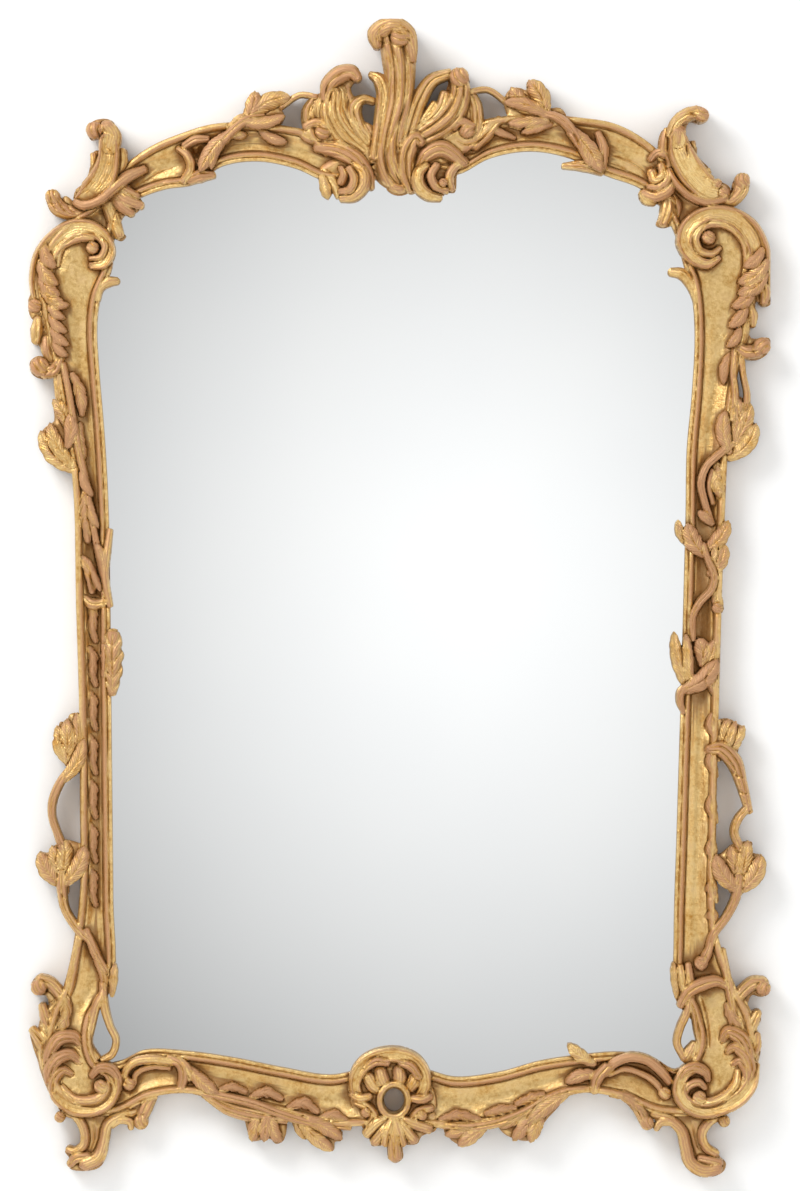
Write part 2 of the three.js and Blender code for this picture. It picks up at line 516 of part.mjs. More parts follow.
function bottomLeftCorner() {
  return [
    ground([
      [31, 985], [36, 977], [46, 976], [54, 982], [62, 990], [66, 1000], [70, 1040], [62, 1090], [52, 1096],
      [44, 1082], [38, 1062], [32, 1044], [30, 1030], [37, 1028], [42, 1032], [39, 1015], [40, 1004],
      [48, 1006], [46, 996], [38, 995],
    ], 24, 0),
    ground([
      [48, 1085], [60, 1105], [80, 1116], [105, 1114], [122, 1100], [122, 1078], [105, 1064], [85, 1064],
      [60, 1070],
    ], 26, 0),
    // the foot
    ground([
      [66, 1100], [84, 1126], [86, 1146], [76, 1148], [68, 1146], [65, 1152], [68, 1158], [68, 1166], [72, 1170],
      [94, 1170], [102, 1164], [108, 1148], [109, 1130], [114, 1122], [124, 1119], [140, 1106], [120, 1085],
      [80, 1085],
    ], 20),
    ridge([[58, 1117, 26, 3], [74, 1113, 26, 3.5], [86, 1130, 26, 3.5], [84, 1150, 28, 4], [66, 1152, 26, 3]], 0),
    ridge([[130, 1118, 24, 3.5], [110, 1122, 27, 4], [104, 1148, 28, 4], [84, 1164, 31, 6]], 0),
    knob([60, 1117], 5, 28, FREE),
    leaf([152, 1098], [141, 1124], 6, 27, 0),
    ground([[112, 1100], [120, 1118], [126, 1122], [135, 1120], [141, 1124], [152, 1096]], 22),
    knob([141, 1124], 7, 29, FREE),
    knob([124, 1121], 5.5, 27, FREE),
    // the horn and the lobed leaf
    ridge([[66, 1003, 24, 4], [55, 988, 29, 5], [41, 981, 32, 5], [34, 988, 33, 4]], FREE),
    knob([39, 989], 6.5, 35, FREE),
    ridge([[62, 998, 24, 7], [53, 1025, 28, 12], [49, 1055, 29, 11], [54, 1088, 28, 6]], 0, 3),
    leaf([52, 1028], [41, 1004], 6, 28, FREE),
    leaf([50, 1055], [31, 1029], 8, 28, FREE),
    ...row([52, 1050], [50, 1078], 3, [22, -10], 5, 33),
    // the C-scroll
    ridge([[48, 1072, 26, 4], [57, 1092, 30, 5], [72, 1105, 33, 6], [90, 1109, 34, 6], [107, 1102, 34, 5.5],
      [115, 1088, 33, 5], [108, 1073, 32, 4.5], [94, 1069, 30, 4]], [0, OVER_GLASS]),
    ridge([[60, 1084, 28, 3], [76, 1099, 32, 4], [95, 1097, 34, 4], [103, 1086, 35, 4]]),
    knob([103, 1086], 6.5, 37),
    // the loop over the glass
    ridge([[106, 984, 28, 4], [109, 1006, 30, 5], [115, 1040, 28, 4], [106, 1063, 27, 3]]),
    ridge([[102, 1000, 30, 4], [91, 1030, 27, 4], [90, 1050, 27, 4], [99, 1063, 27, 3]]),
    leaf([111, 992], [115, 964], 3, 28),
    ridge([[78, 940, 27, 3], [73, 975, 28, 4], [72, 998, 26, 3]], GROUND),
    // the panel beside the scroll
    knob([127, 1083], 6.5, 28),
    ridge([[124, 1078, 27, 3], [142, 1063, 30, 4], [172, 1062, 28, 3]]),
    ridge([[174, 1060, 28, 3], [187, 1072, 32, 5], [184, 1090, 28, 4]]),
    leaf([189, 1068], [213, 1093], 6, 31),
  ];
}

function bottomRightCorner() {
  return [
    ground([
      [728, 1000], [740, 990], [750, 981], [762, 979], [770, 985], [769, 994], [760, 997], [752, 995],
      [748, 1010], [760, 1011], [761, 1020], [757, 1030], [761, 1045], [758, 1065], [752, 1085],
      [740, 1070], [735, 1030],
    ], 24, 0),
    ground([
      [755, 1070], [748, 1094], [730, 1112], [705, 1119], [685, 1113], [673, 1098], [673, 1078],
      [688, 1064], [710, 1064], [735, 1070],
    ], 26, 0),
    // the foot
    ground([
      [652, 1110], [676, 1126], [681, 1146], [684, 1160], [692, 1171], [706, 1177], [716, 1176], [724, 1170],
      [726, 1163], [722, 1156], [718, 1150], [710, 1148], [702, 1140], [704, 1124], [720, 1106], [700, 1090],
      [670, 1090],
    ], 20),
    ridge([[656, 1120, 24, 3], [680, 1132, 27, 4], [686, 1158, 29, 5], [704, 1171, 31, 6], [720, 1164, 31, 5]], 0),
    ridge([[726, 1120, 26, 3], [711, 1117, 26, 3.5], [702, 1136, 27, 3], [719, 1152, 28, 3]], 0),
    knob([724, 1121], 6, 29, FREE),
    leaf([632, 1096], [646, 1124], 6, 27, 0),
    ground([[630, 1096], [646, 1124], [652, 1118], [660, 1124], [668, 1118], [672, 1104]], 22),
    knob([646, 1125], 6.5, 29, FREE),
    knob([660, 1124], 5.5, 27, FREE),
    // the horn and the lobed leaf
    ridge([[730, 1004, 24, 5], [744, 989, 30, 5.5], [758, 983, 33, 5], [765, 991, 33, 4]], FREE),
    knob([762, 990], 6, 35, FREE),
    ridge([[736, 998, 24, 7], [745, 1025, 28, 10], [749, 1050, 29, 9], [749, 1078, 28, 6]], 0, 3),
    leaf([748, 1040], [754, 1011], 7, 28, FREE),
    ...row([750, 1036], [752, 1066], 3, [-24, -6], 5.5, 33),
    // the C-scroll
    ridge([[757, 1050, 26, 4], [755, 1072, 30, 5], [747, 1092, 33, 6], [730, 1106, 34, 6], [712, 1112, 34, 6],
      [694, 1110, 34, 5.5], [680, 1098, 33, 5], [677, 1080, 32, 4.5], [690, 1068, 31, 4.5], [704, 1072, 30, 3]],
    [0, OVER_GLASS]),
    ridge([[736, 1066, 28, 3], [734, 1086, 32, 4], [718, 1100, 34, 4], [699, 1098, 35, 4]]),
    knob([699, 1097], 7, 37),
    leaf([680, 1082], [707, 1073], 6, 34),
    // the loop over the glass
    ridge([[690, 1000, 31, 4], [681, 1028, 28, 4], [680, 1048, 28, 4], [690, 1061, 27, 3]]),
    ridge([[691, 1000, 31, 4], [700, 1028, 28, 4], [702, 1046, 28, 4], [694, 1061, 27, 3]]),
    ridge([[686, 1000, 31, 4], [702, 989, 34, 7], [724, 984, 28, 4]]),
    knob([703, 963], 6, 30),
    leaf([677, 998], [672, 962], 4, 28),
    ridge([[684, 966, 27, 4], [683, 985, 29, 5], [690, 1002, 31, 4]]),
    // the panel beside the scroll
    knob([665, 1093], 6.5, 29),
    ridge([[610, 1064, 28, 3], [636, 1059, 31, 4.5], [668, 1085, 30, 4]]),
    ridge([[596, 1090, 28, 4], [602, 1075, 32, 6], [614, 1062, 29, 4]]),
  ];
}

function apron() {
  return [
    ground([
      [246, 1112], [284, 1112], [284, 1140], [276, 1144], [270, 1139], [262, 1140], [252, 1141],
      [247, 1130],
    ], 24, FREE),
    ground([
      [296, 1116], [322, 1120], [342, 1132], [341, 1141], [335, 1142], [334, 1150], [326, 1148],
      [312, 1138], [300, 1136],
    ], 24, FREE),
    ground([
      [444, 1130], [485, 1124], [488, 1128], [475, 1140], [460, 1145], [450, 1139],
    ], 24, FREE),
    ground([
      [498, 1122], [540, 1105], [562, 1096], [562, 1102], [545, 1122], [538, 1138], [528, 1141],
      [515, 1139], [502, 1132],
    ], 25, FREE),
    // left of the cartouche
    ridge([[196, 1092, 26, 3], [240, 1101, 30, 4], [285, 1115, 30, 4], [350, 1126, 27, 3]], GROUND),
    ridge([[206, 1094, 26, 3], [230, 1107, 28, 6], [254, 1113, 29, 7], [284, 1117, 28, 5]], FREE),
    ...spray([262, 1112], [[253, 1140], [265, 1139], [280, 1142]], 7, 30, FREE),
    leaf([294, 1117], [307, 1138], 5, 28, FREE),
    ...spray([302, 1120], [[333, 1150], [341, 1138]], 7, 30, FREE),
    ...row([252, 1098], [322, 1122], 3, [24, -8], 6, 26),
    // right of the cartouche
    ridge([[432, 1122, 26, 3], [470, 1126, 30, 4], [515, 1116, 30, 4], [548, 1098, 29, 4], [592, 1088, 26, 3]],
      GROUND),
    ...spray([486, 1124], [[446, 1135], [457, 1144]], 7, 30, FREE),
    ...spray([538, 1108], [[499, 1126], [514, 1138], [530, 1140], [540, 1130]], 7, 31, FREE),
    leaf([562, 1097], [530, 1120], 6, 31, FREE),
    ...row([478, 1118], [545, 1098], 3, [-24, 0], 6, 26),
    leaf([592, 1082], [567, 1079], 7, 28),
    leaf([592, 1064], [568, 1045], 6, 28),
  ];
}

// Places round the eye of the cartouche.
const around = (grow, height, half) => (turn) => [
  EYE.across + (EYE.halfWidth + grow) * Math.cos(turn), EYE.down + (EYE.halfHeight + grow) * Math.sin(turn),
  height, half,
];
const turns = (count) => Array.from({ length: count }, (_, i) => (2 * Math.PI * i) / count);

function cartouche() {
  return [
    ground([
      [350, 1094], [350, 1075], [358, 1062], [370, 1054], [386, 1049], [402, 1049], [414, 1053],
      [424, 1064], [431, 1078], [430, 1092], [426, 1099],
    ], 27, OVER_GLASS),
    ground([
      [364, 1130], [369, 1138], [372, 1146], [386, 1146], [388, 1158], [395, 1163], [403, 1158],
      [403, 1146], [417, 1144], [422, 1136], [436, 1130], [434, 1112], [358, 1112],
    ], 26, FREE),
    ground([
      [350, 1094], [358, 1118], [376, 1136], [394, 1148], [412, 1138], [432, 1124], [436, 1100], [426, 1080],
      [360, 1080],
    ], 20),
    ridge([[358, 1097, 28, 4], [352, 1080, 31, 5], [362, 1063, 33, 6], [380, 1055, 34, 6.5], [398, 1054, 34, 6.5],
      [414, 1059, 34, 6], [425, 1072, 33, 5], [427, 1088, 31, 5], [418, 1098, 28, 4]]),
    // the shell above the eye
    ...spray([394, 1092], [[366, 1080], [378, 1066], [394, 1062], [408, 1067], [419, 1082]], 8, 35),
    // the rim of the eye and the scrolls beside it
    ridge(turns(10).concat(0.2).map(around(4, 32, 3.5)), 0),
    ridge([[360, 1100, 28, 3], [376, 1104, 31, 4], [372, 1120, 28, 5]]),
    ridge([[428, 1106, 28, 3], [412, 1106, 31, 4], [420, 1124, 28, 5]]),
    // the fan and the drop below it
    ...spray([394, 1110], [[366, 1129], [372, 1145], [384, 1148], [408, 1147], [417, 1141], [434, 1128]], 7, 32, FREE),
    leaf([394, 1108], [395, 1164], 10, 34, FREE),
  ];
}

// Closes edges of a solid one by one, the least visible first, until `most` triangles are left.
function coarsen(solid, most) {
  const mesh = solid.getMesh();
  const count = mesh.vertProperties.length / mesh.numProp;
  const points = Array.from({ length: count }, (_, i) =>
    new THREE.Vector3().fromArray(mesh.vertProperties, i * mesh.numProp));
  const corners = Array.from({ length: mesh.triVerts.length / 3 }, (_, i) =>
    Array.from(mesh.triVerts.subarray(3 * i, 3 * i + 3)));
  const facesAt = points.map(() => new Set());
  const quadrics = points.map(() => new Float64Array(10));
  const changes = points.map(() => 0);
  corners.forEach((face, f) => {
    face.forEach((v) => facesAt[v].add(f));
    const normal = normalOf(face.map((v) => points[v]));
    const area = normal.length() / 2;
    normal.normalize();
    const plane = [...normal.toArray(), -normal.dot(points[face[0]])];
    face.forEach((v) => addPlane(quadrics[v], plane, area));
  });
  const heap = [];
  const neighbours = (v) => new Set([...facesAt[v]].flatMap((f) => corners[f]).filter((w) => w !== v));
  const offer = (a, b) => {
    const sum = quadrics[a].map((value, k) => value + quadrics[b][k]);
    const [cost, at] = bestPoint(sum, points[a], points[b]);
    push(heap, { cost, at, a, b, stamp: changes[a] + changes[b] });
  };
  points.forEach((_, a) => neighbours(a).forEach((b) => a < b && offer(a, b)));
  let left = corners.length;
  while (left > most && heap.length) {
    const { a, b, at, stamp } = pop(heap);
    if (stamp !== changes[a] + changes[b] || !facesAt[a].size || !facesAt[b].size) continue;
    const shared = [...facesAt[a]].filter((f) => facesAt[b].has(f));
    const ring = neighbours(a);
    const common = [...neighbours(b)].filter((v) => ring.has(v));
    if (shared.length !== 2 || common.length !== 2) continue;
    const turned = [a, b].some((v) => [...facesAt[v]].some((f) => {
      if (shared.includes(f)) return false;
      const before = normalOf(corners[f].map((w) => points[w]));
      const after = normalOf(corners[f].map((w) => (w === v ? at : points[w])));
      return after.dot(before) < 0.3 * after.length() * before.length() || after.length() < 0.02;
    }));
    if (turned) continue;
    points[a].copy(at);
    quadrics[b].forEach((value, k) => { quadrics[a][k] += value; });
    shared.forEach((f) => corners[f].forEach((v) => facesAt[v].delete(f)));
    facesAt[b].forEach((f) => {
      corners[f] = corners[f].map((v) => (v === b ? a : v));
      facesAt[a].add(f);
    });
    facesAt[b].clear();
    changes[a] += 1;
    changes[b] += 1;
    left -= 2;
    neighbours(a).forEach((v) => offer(a, v));
  }
  const kept = [...new Set(facesAt.flatMap((faces) => [...faces]))];
  const used = [...new Set(kept.flatMap((f) => corners[f]))];
  const order = new Map(used.map((v, i) => [v, i]));
  return new wasm.Manifold(new wasm.Mesh({
    numProp: 3,
    vertProperties: new Float32Array(used.flatMap((v) => points[v].toArray().map(settle))),
    triVerts: new Uint32Array(kept.flatMap((f) => corners[f].map((v) => order.get(v)))),
  }));
}

// Corners that have drifted a little from the back or from the rebate's floor go back to it.
const LAYERS = [0, -REBATE_HEIGHT];
const settle = (value, axis) => (axis === 1 && LAYERS.find((layer) => Math.abs(value - layer) < 0.1)) || value;

function normalOf([a, b, c]) {
  return new THREE.Vector3().subVectors(b, a).cross(new THREE.Vector3().subVectors(c, a));
}

// A quadric holds the upper half of a symmetric 4 x 4 matrix, row by row.
function addPlane(quadric, plane, weight) {
  let k = 0;
  for (let i = 0; i < 4; i++) {
    for (let j = i; j < 4; j++) quadric[k++] += weight * plane[i] * plane[j];
  }
}

function errorAt(q, { x, y, z }) {
  return q[0] * x * x + 2 * q[1] * x * y + 2 * q[2] * x * z + 2 * q[3] * x + q[4] * y * y + 2 * q[5] * y * z
    + 2 * q[6] * y + q[7] * z * z + 2 * q[8] * z + q[9];
}

// The point that lies nearest to all the planes of an edge, or the better of its ends and middle.
function bestPoint(q, a, b) {
  const middle = a.clone().lerp(b, 0.5);
  const options = [a, b, middle];
  const system = new THREE.Matrix3().set(q[0], q[1], q[2], q[1], q[4], q[5], q[2], q[5], q[7]);
  if (Math.abs(system.determinant()) > 1e-3 * (q[0] + q[4] + q[7]) ** 3) {
    const solved = new THREE.Vector3(-q[3], -q[6], -q[8]).applyMatrix3(system.invert());
    if (solved.distanceTo(middle) < a.distanceTo(b)) options.push(solved);
  }
  const short = 1e-3 * a.distanceToSquared(b);
  return options.map((at) => [errorAt(q, at) + short, at.clone()]).reduce((best, o) => (o[0] < best[0] ? o : best));
}

// A heap of edges with the cheapest on top.
function push(heap, item) {
  let i = heap.push(item) - 1;
  while (i > 0 && heap[(i - 1) >> 1].cost > heap[i].cost) {
    const up = (i - 1) >> 1;
    [heap[i], heap[up]] = [heap[up], heap[i]];
    i = up;
  }
}

function pop(heap) {
  const top = heap[0];
  const last = heap.pop();
  if (heap.length) {
    heap[0] = last;
    for (let i = 0; ;) {
      const down = [2 * i + 1, 2 * i + 2].filter((k) => k < heap.length);
      if (!down.length) break;
      const least = down.reduce((m, k) => (heap[k].cost < heap[m].cost ? k : m));
      if (heap[least].cost >= heap[i].cost) break;
      [heap[i], heap[least]] = [heap[least], heap[i]];
      i = least;
    }
  }
  return top;
}

function carvedFrame() {
  const eye = ground(turns(EYE.sides).map(around(0, 0, 0)), ABOVE_ALL, -1);
  const rebate = ground(outlineAt(REBATE_WIDTH), REBATE_HEIGHT, -1);
  const whole = wasm.Manifold.union([
    moulding(), ...crest(), ...archVines(), ...topLeftCorner(), ...topRightCorner(), ...leftRail(), ...rightRail(),
    ...bottomLeftCorner(), ...bottomRightCorner(), ...apron(), ...cartouche(),
  ]);
  const pockets = HANGER.across.map((across) => hangerBlank(across, HANGER.gap, HANGER.pocket, -1));
  const cut = wasm.Manifold.difference([whole, eye, rebate, ...pockets]).simplify(0.05);
  const largest = cut.decompose().reduce((a, b) => (b.volume() > a.volume() ? b : a));
  return coarsen(largest, CARVED_FACES);
}

// A block of the outline of a hanging plate, made larger all round by `grow`.
function hangerBlank(across, grow, height, low = 0) {
  const halfWidth = HANGER.width / 2 + grow;
  const halfHeight = HANGER.height / 2 + grow;
  return ground([[-1, -1], [1, -1], [1, 1], [-1, 1]].map(([i, j]) =>
    [across + i * halfWidth, HANGER.down + j * halfHeight]), height, low);
}

// A hanging plate with its keyhole, wide end down.
function hangerPlate(across) {
  const { slot, eye, top, eyeTop, bottom } = KEYHOLE;
  const half = [[slot, top], [slot, eyeTop], [eye, eyeTop + 4], [eye, bottom - 3], [eye - 3, bottom]];
  const keyhole = [...half, ...half.toReversed().map(([i, j]) => [-i, j])].map(([i, j]) =>
    [across + i, HANGER.down + j]);
  return hangerBlank(across, 0, HANGER.thickness).subtract(ground(keyhole, HANGER.thickness + 1, -1));
}

function toMesh(solid, name, material) {
  const mesh = solid.getMesh();
  const geometry = new THREE.BufferGeometry();
  geometry.setAttribute("position", new THREE.BufferAttribute(mesh.vertProperties, 3));
  geometry.setIndex(new THREE.BufferAttribute(mesh.triVerts, 1));
  geometry.computeVertexNormals();
  const made = new THREE.Mesh(geometry, material);
  made.name = name;
  return made;
}

const gilding = new THREE.MeshStandardMaterial({ color: 0xc9973f, metalness: 0.6, roughness: 0.4 });
const silvering = new THREE.MeshStandardMaterial({ color: 0xdfe3e6, metalness: 1, roughness: 0.03 });
const deal = new THREE.MeshStandardMaterial({ color: 0x8a6a48, roughness: 0.8 });
const steel = new THREE.MeshStandardMaterial({ color: 0x9a958a, metalness: 1, roughness: 0.5 });
const plateOutline = outlineAt(PLATE_INSET).filter((_, i) => i % STEPS === 0);

const mirror = new THREE.Group();
mirror.name = "wall_mirror";
mirror.add(
  toMesh(carvedFrame(), "carved_frame", gilding),
  toMesh(ground(plateOutline, GLASS_BACK + GLASS_THICKNESS, GLASS_BACK), "mirror_plate", silvering),
  toMesh(ground(plateOutline, BOARD_BACK + BOARD_THICKNESS, BOARD_BACK), "backing_board", deal),
  toMesh(hangerPlate(HANGER.across[0]), "hanging_plate_left", steel),
  toMesh(hangerPlate(HANGER.across[1]), "hanging_plate_right", steel),
);
export default mirror;
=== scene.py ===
# %% [markdown]
# # A carved and gilt wall mirror
# A tall looking glass in a hand-carved frame of scrolls, leaves and trailing stems, covered with gold leaf. The
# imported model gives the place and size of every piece. This file gives them the looks of the real ones: fine
# carving, worn gilding, silvered glass, a plain wall and a soft studio light.

# %% Load the fixed frame
import math

import bmesh
import bpy
import numpy as np
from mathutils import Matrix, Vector


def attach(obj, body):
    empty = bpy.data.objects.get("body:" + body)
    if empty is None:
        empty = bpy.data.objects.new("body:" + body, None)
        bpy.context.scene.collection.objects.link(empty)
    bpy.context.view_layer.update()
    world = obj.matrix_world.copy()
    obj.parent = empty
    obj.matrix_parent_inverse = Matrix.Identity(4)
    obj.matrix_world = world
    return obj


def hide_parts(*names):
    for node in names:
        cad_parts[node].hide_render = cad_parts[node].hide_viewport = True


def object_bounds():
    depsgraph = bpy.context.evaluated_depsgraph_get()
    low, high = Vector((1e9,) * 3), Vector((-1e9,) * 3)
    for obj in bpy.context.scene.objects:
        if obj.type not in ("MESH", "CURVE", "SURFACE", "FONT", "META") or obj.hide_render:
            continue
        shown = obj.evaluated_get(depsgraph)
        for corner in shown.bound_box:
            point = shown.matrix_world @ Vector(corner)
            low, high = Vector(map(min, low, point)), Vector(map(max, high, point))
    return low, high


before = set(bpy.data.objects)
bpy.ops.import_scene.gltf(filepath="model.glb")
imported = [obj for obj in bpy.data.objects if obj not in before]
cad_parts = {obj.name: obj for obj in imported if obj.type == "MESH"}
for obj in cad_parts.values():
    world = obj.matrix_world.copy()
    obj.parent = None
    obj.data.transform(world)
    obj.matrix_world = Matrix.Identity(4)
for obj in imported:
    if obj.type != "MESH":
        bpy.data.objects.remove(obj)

CAD_BOX = [list(corner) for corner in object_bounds()]
print("nodes", sorted(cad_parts), "box", CAD_BOX)

# %% [markdown]
# ## The carver's block
# A carver works from the front: a drawing is laid on the board, the outline is sawn, and every form is cut down
# from its crown. So the carving is kept the same way, as a map of heights over the drawing. It could be built of
# hundreds of small meshes, or sculpted by hand, but on a map each new leaf can cut a groove round itself and
# melt into what is beside it, as it does under a gouge. Places are millimetres from the drawing's left and top
# edges, and heights are millimetres from the wall. Three maps are kept: the front surface, the underside, and how
# far each place is inside the outline. A fourth says how much of a place is leafage, and a fifth holds the
# millimetres across the stroke, which the fine lines of the gouge follow.

# %% The maps
MM = 0.001
MOUNT_ACROSS, MOUNT_DOWN = 398.0, 150.0
CELL = 0.8
LEFT, RIGHT, TOP, BOTTOM = 22.0, 778.0, 16.0, 1182.0
EMPTY, OUTSIDE = -1000.0, -50.0

across_of = np.arange(LEFT, RIGHT, CELL)
down_of = np.arange(TOP, BOTTOM, CELL)
shape = (len(down_of), len(across_of))
surface = np.full(shape, EMPTY)
under = np.full(shape, -EMPTY)
inside = np.full(shape, OUTSIDE)
leafage = np.zeros(shape)
strokes = np.zeros(shape)
print("drawing", shape, "cells of", CELL, "mm")

# %% [markdown]
# The undersides: carving over the glass stays clear of it, free-standing carving stands off the wall, and the
# rest lies between or goes back to the wall. The names are used for every form below.

# %% Undersides
OVER, MID, FREE, WALL = 14.2, 9.0, 5.0, 0.0

# %% [markdown]
# ## Tools for drawing
# The drawing is written down as a carver would note it, point by point: across and down, then the height of the
# crown and half the width, in millimetres, with a comma between two points. A scroll is drawn through a few
# points, and the line between them has to run smoothly. A centripetal Catmull-Rom curve goes through every point
# and never loops back at a tight turn, which is what a volute needs.

# %% A smooth line
STEPS = 8
SHORTEST = 1e-3


def drawn(points):
    if isinstance(points, str):
        points = [[float(value) for value in point.split()] for point in points.split(",")]
    return np.asarray(points, float)


def smooth(points, steps=STEPS, closed=False):
    points = drawn(points)
    count = len(points)

    def at(i):
        if closed or 0 <= i < count:
            return points[i % count]
        return 2 * points[0] - points[1] if i < 0 else 2 * points[-1] - points[-2]

    out = []
    for i in range(count if closed else count - 1):
        a, b, c, d = (at(i + k) for k in (-1, 0, 1, 2))
        first, middle, last = (max(np.linalg.norm(q[:2] - p[:2]) ** 0.5, SHORTEST)
                               for p, q in ((a, b), (b, c), (c, d)))
        start = ((b - a) / first - (c - a) / (first + middle) + (c - b) / middle) * middle
        end = ((c - b) / middle - (d - b) / (middle + last) + (d - c) / last) * middle
        t = np.linspace(0, 1, steps, endpoint=False)[:, None]
        out.append(b + start * t + (3 * (c - b) - 2 * start - end) * t**2 + (start + end - 2 * (c - b)) * t**3)
    return np.concatenate(out + ([] if closed else [points[-1:]]))


def window(points, grow):
    low, high = np.min(points, axis=0) - grow, np.max(points, axis=0) + grow
    first = [max(0, int((v - o) / CELL)) for v, o in ((low[1], TOP), (low[0], LEFT))]
    last = [max(0, int((v - o) / CELL) + 2) for v, o in ((high[1], TOP), (high[0], LEFT))]
    return slice(first[0], last[0]), slice(first[1], last[1])


def places(win):
    return np.meshgrid(across_of[win[1]], down_of[win[0]])

# %% [markdown]
# Every stroke of the gouge needs to know, for each place near its line, how far along the line it is, how far to
# the side, and how far inside the stroke's own edge. The line is cut into short straight pieces, and each place
# takes the piece that it lies nearest to. Both ends are drawn in a little, so that they are rounder than half a
# circle would be.

# %% Places near a line
NEARBY = 3.0
ROUND_END = 1.8
NARROWEST = 0.2
FAR, FAR_OUT = 1e6, -99.0


def follow(line, half, grow=NEARBY):
    win = window(line, half.max() + grow)
    x, y = places(win)
    nearest, reach = np.full(x.shape, FAR), np.full(x.shape, FAR_OUT)
    along, side = np.zeros(x.shape), np.zeros(x.shape)
    for k in range(len(line) - 1):
        a, run = line[k], line[k + 1] - line[k]
        length = math.hypot(*run) or 1 / FAR
        near = window(line[k:k + 2], max(half[k], half[k + 1]) + grow)
        part = tuple(slice(n.start - w.start, n.stop - w.start) for n, w in zip(near, win))
        dx, dy = x[part] - a[0], y[part] - a[1]
        u = (dx * run[0] + dy * run[1]) / length
        v = (dy * run[0] - dx * run[1]) / length
        before, after = np.maximum(-u, 0) * (k == 0), np.maximum(u - length, 0) * (k == len(line) - 2)
        beyond = before + after
        gap = np.maximum(np.maximum(-u, u - length), 0)
        share = np.clip(u / length, 0, 1)
        width = half[k] + (half[k + 1] - half[k]) * share
        distance = np.hypot(v, np.where(beyond > 0, ROUND_END * beyond, gap))
        better = distance < nearest[part]
        for field, value in ((nearest, distance), (reach, width - distance), (along, k + share),
                             (side, np.copysign(distance, v) / np.maximum(width, NARROWEST))):
            field[part] = np.where(better, value, field[part])
    return win, reach, along, np.clip(side, -1, 1)

# %% [markdown]
# The same line also says, for every place beside it, how high the form's crown is, how wide the form is and where
# its underside lies. The underside can change along the way, from over the glass to free of the wall.

# %% One stroke
def stroke(points, low, notched=None):
    points = drawn(points)
    line = smooth(points)
    stations = np.arange(len(line))
    half = np.interp(stations / STEPS, np.arange(len(points)), points[:, 3])
    if notched:
        half = half * notched(stations / (len(line) - 1))
    win, reach, along, side = follow(line[:, :2], half)
    crown, width = np.interp(along, stations, line[:, 2]), np.interp(along, stations, half)
    lows = np.atleast_1d(low)
    bottom = lows[0] + (lows[-1] - lows[0]) * along / (len(line) - 1)
    return win, reach, along / (len(line) - 1), side, crown, width, bottom

# %% [markdown]
# A form is set on the block in three steps, in the order of the real work. First a V is cut round it in what is
# already there, which gives the dark line that gilders' red clay and old wax fill, and that the gilding also
# paints darker as shade. Then the form is added, and where it meets its neighbour the corner is filled a little,
# because carved wood is coated with gesso before the gold. Last the outline and the underside are brought up to
# date. No two forms are rubbed alike, so a seeded draw makes each a little more or less like leafage than the
# drawing says.

# %% Setting a form on the block
GROOVE_WIDTH, GROOVE_DEPTH = 1.7, 1.5
GESSO, FILLET = 1.0, 0.25
UNEVEN = (-0.5, 0.25)
SPARE = 1.6
hand = np.random.default_rng(1765)


def carve(win, height, crown, low, reach, leafy, groove=GROOVE_DEPTH, lines=0.0):
    top, back, rim = surface[win], under[win], inside[win]
    filled = top > EMPTY / 2
    ditch = groove * np.clip(1 + reach / GROOVE_WIDTH, 0, 1) ** 2
    top -= np.where((reach <= 0) & filled & (top < crown), ditch, 0)
    body = reach > 0
    close = np.clip(GESSO - np.abs(top - height), 0, None) / GESSO
    merged = np.maximum(top, height) + FILLET * GESSO * close**2
    seen = body & (height > top)
    leafage[win] = np.where(seen, leafy + hand.uniform(*UNEVEN), leafage[win])
    strokes[win] = np.where(seen, lines, strokes[win])
    bare = ~filled & (reach > -SPARE)
    top[:] = np.where(body & filled, merged, np.where(bare, height, top))
    back[:] = np.where(body | bare, np.minimum(back, low), back)
    rim[:] = np.maximum(rim, reach)

# %% [markdown]
# ## The forms that a carver uses
# A ridge is the commonest: a raised band with a rounded crown, plain on a scroll and fluted on a big leaf. After
# its points come its underside, its flutes, how much it is leafage and how deep the flutes are.

# %% Ridges
SIDE_FALL, ROOM_FALL, CROWN = 0.75, 0.6, 2.3
FLUTE_DEPTH, FLUTE_LEAN, FLUTE_SHARP = 1.5, 1.25, 2.6


def ridge(points, low=OVER, flutes=1, leafy=0.1, deep=1.0):
    win, reach, _, side, crown, width, bottom = stroke(points, low)
    drop = np.minimum(SIDE_FALL * width, ROOM_FALL * (crown - bottom))
    height = crown - drop * np.abs(side) ** CROWN
    if flutes > 1:
        valley = FLUTE_DEPTH * deep * np.minimum(0.8 * width / flutes, 0.6 * drop)
        share = (flutes * (side + 1) / 2) % 1
        height -= valley * np.abs(2 * share**FLUTE_LEAN - 1) ** FLUTE_SHARP
    carve(win, height, crown, bottom, reach, leafy, lines=side * width)

# %% [markdown]
# The dark lines of the carving are single cuts of a V tool, deep in the middle and running out at both ends.
# A semicolon stands between two cuts.

# %% Cuts
BITE = 0.72
TOOL_TIP = 0.3


def cut(points, half=1.5, depth=2.6):
    line = smooth(points)
    run = np.linspace(0, 1, len(line))
    widths = TOOL_TIP + half * np.sin(math.pi * (0.06 + 0.88 * run)) ** 0.6
    win, reach, along, side = follow(line, widths, 1)
    sunk = BITE * depth * np.sin(math.pi * (along / (len(line) - 1))) ** 0.5 * (1 - np.abs(side)) ** 1.2
    surface[win] -= np.where(reach > 0, sunk, 0)


def cuts(lines, half=1.5, depth=2.6):
    for points in lines.split(";"):
        cut(points, half, depth)

# %% [markdown]
# A scroll's band is hollowed between two lips, the outer one the higher. It is what makes a C-scroll look like a
# ribbon of wood bent over, and not like a rope.

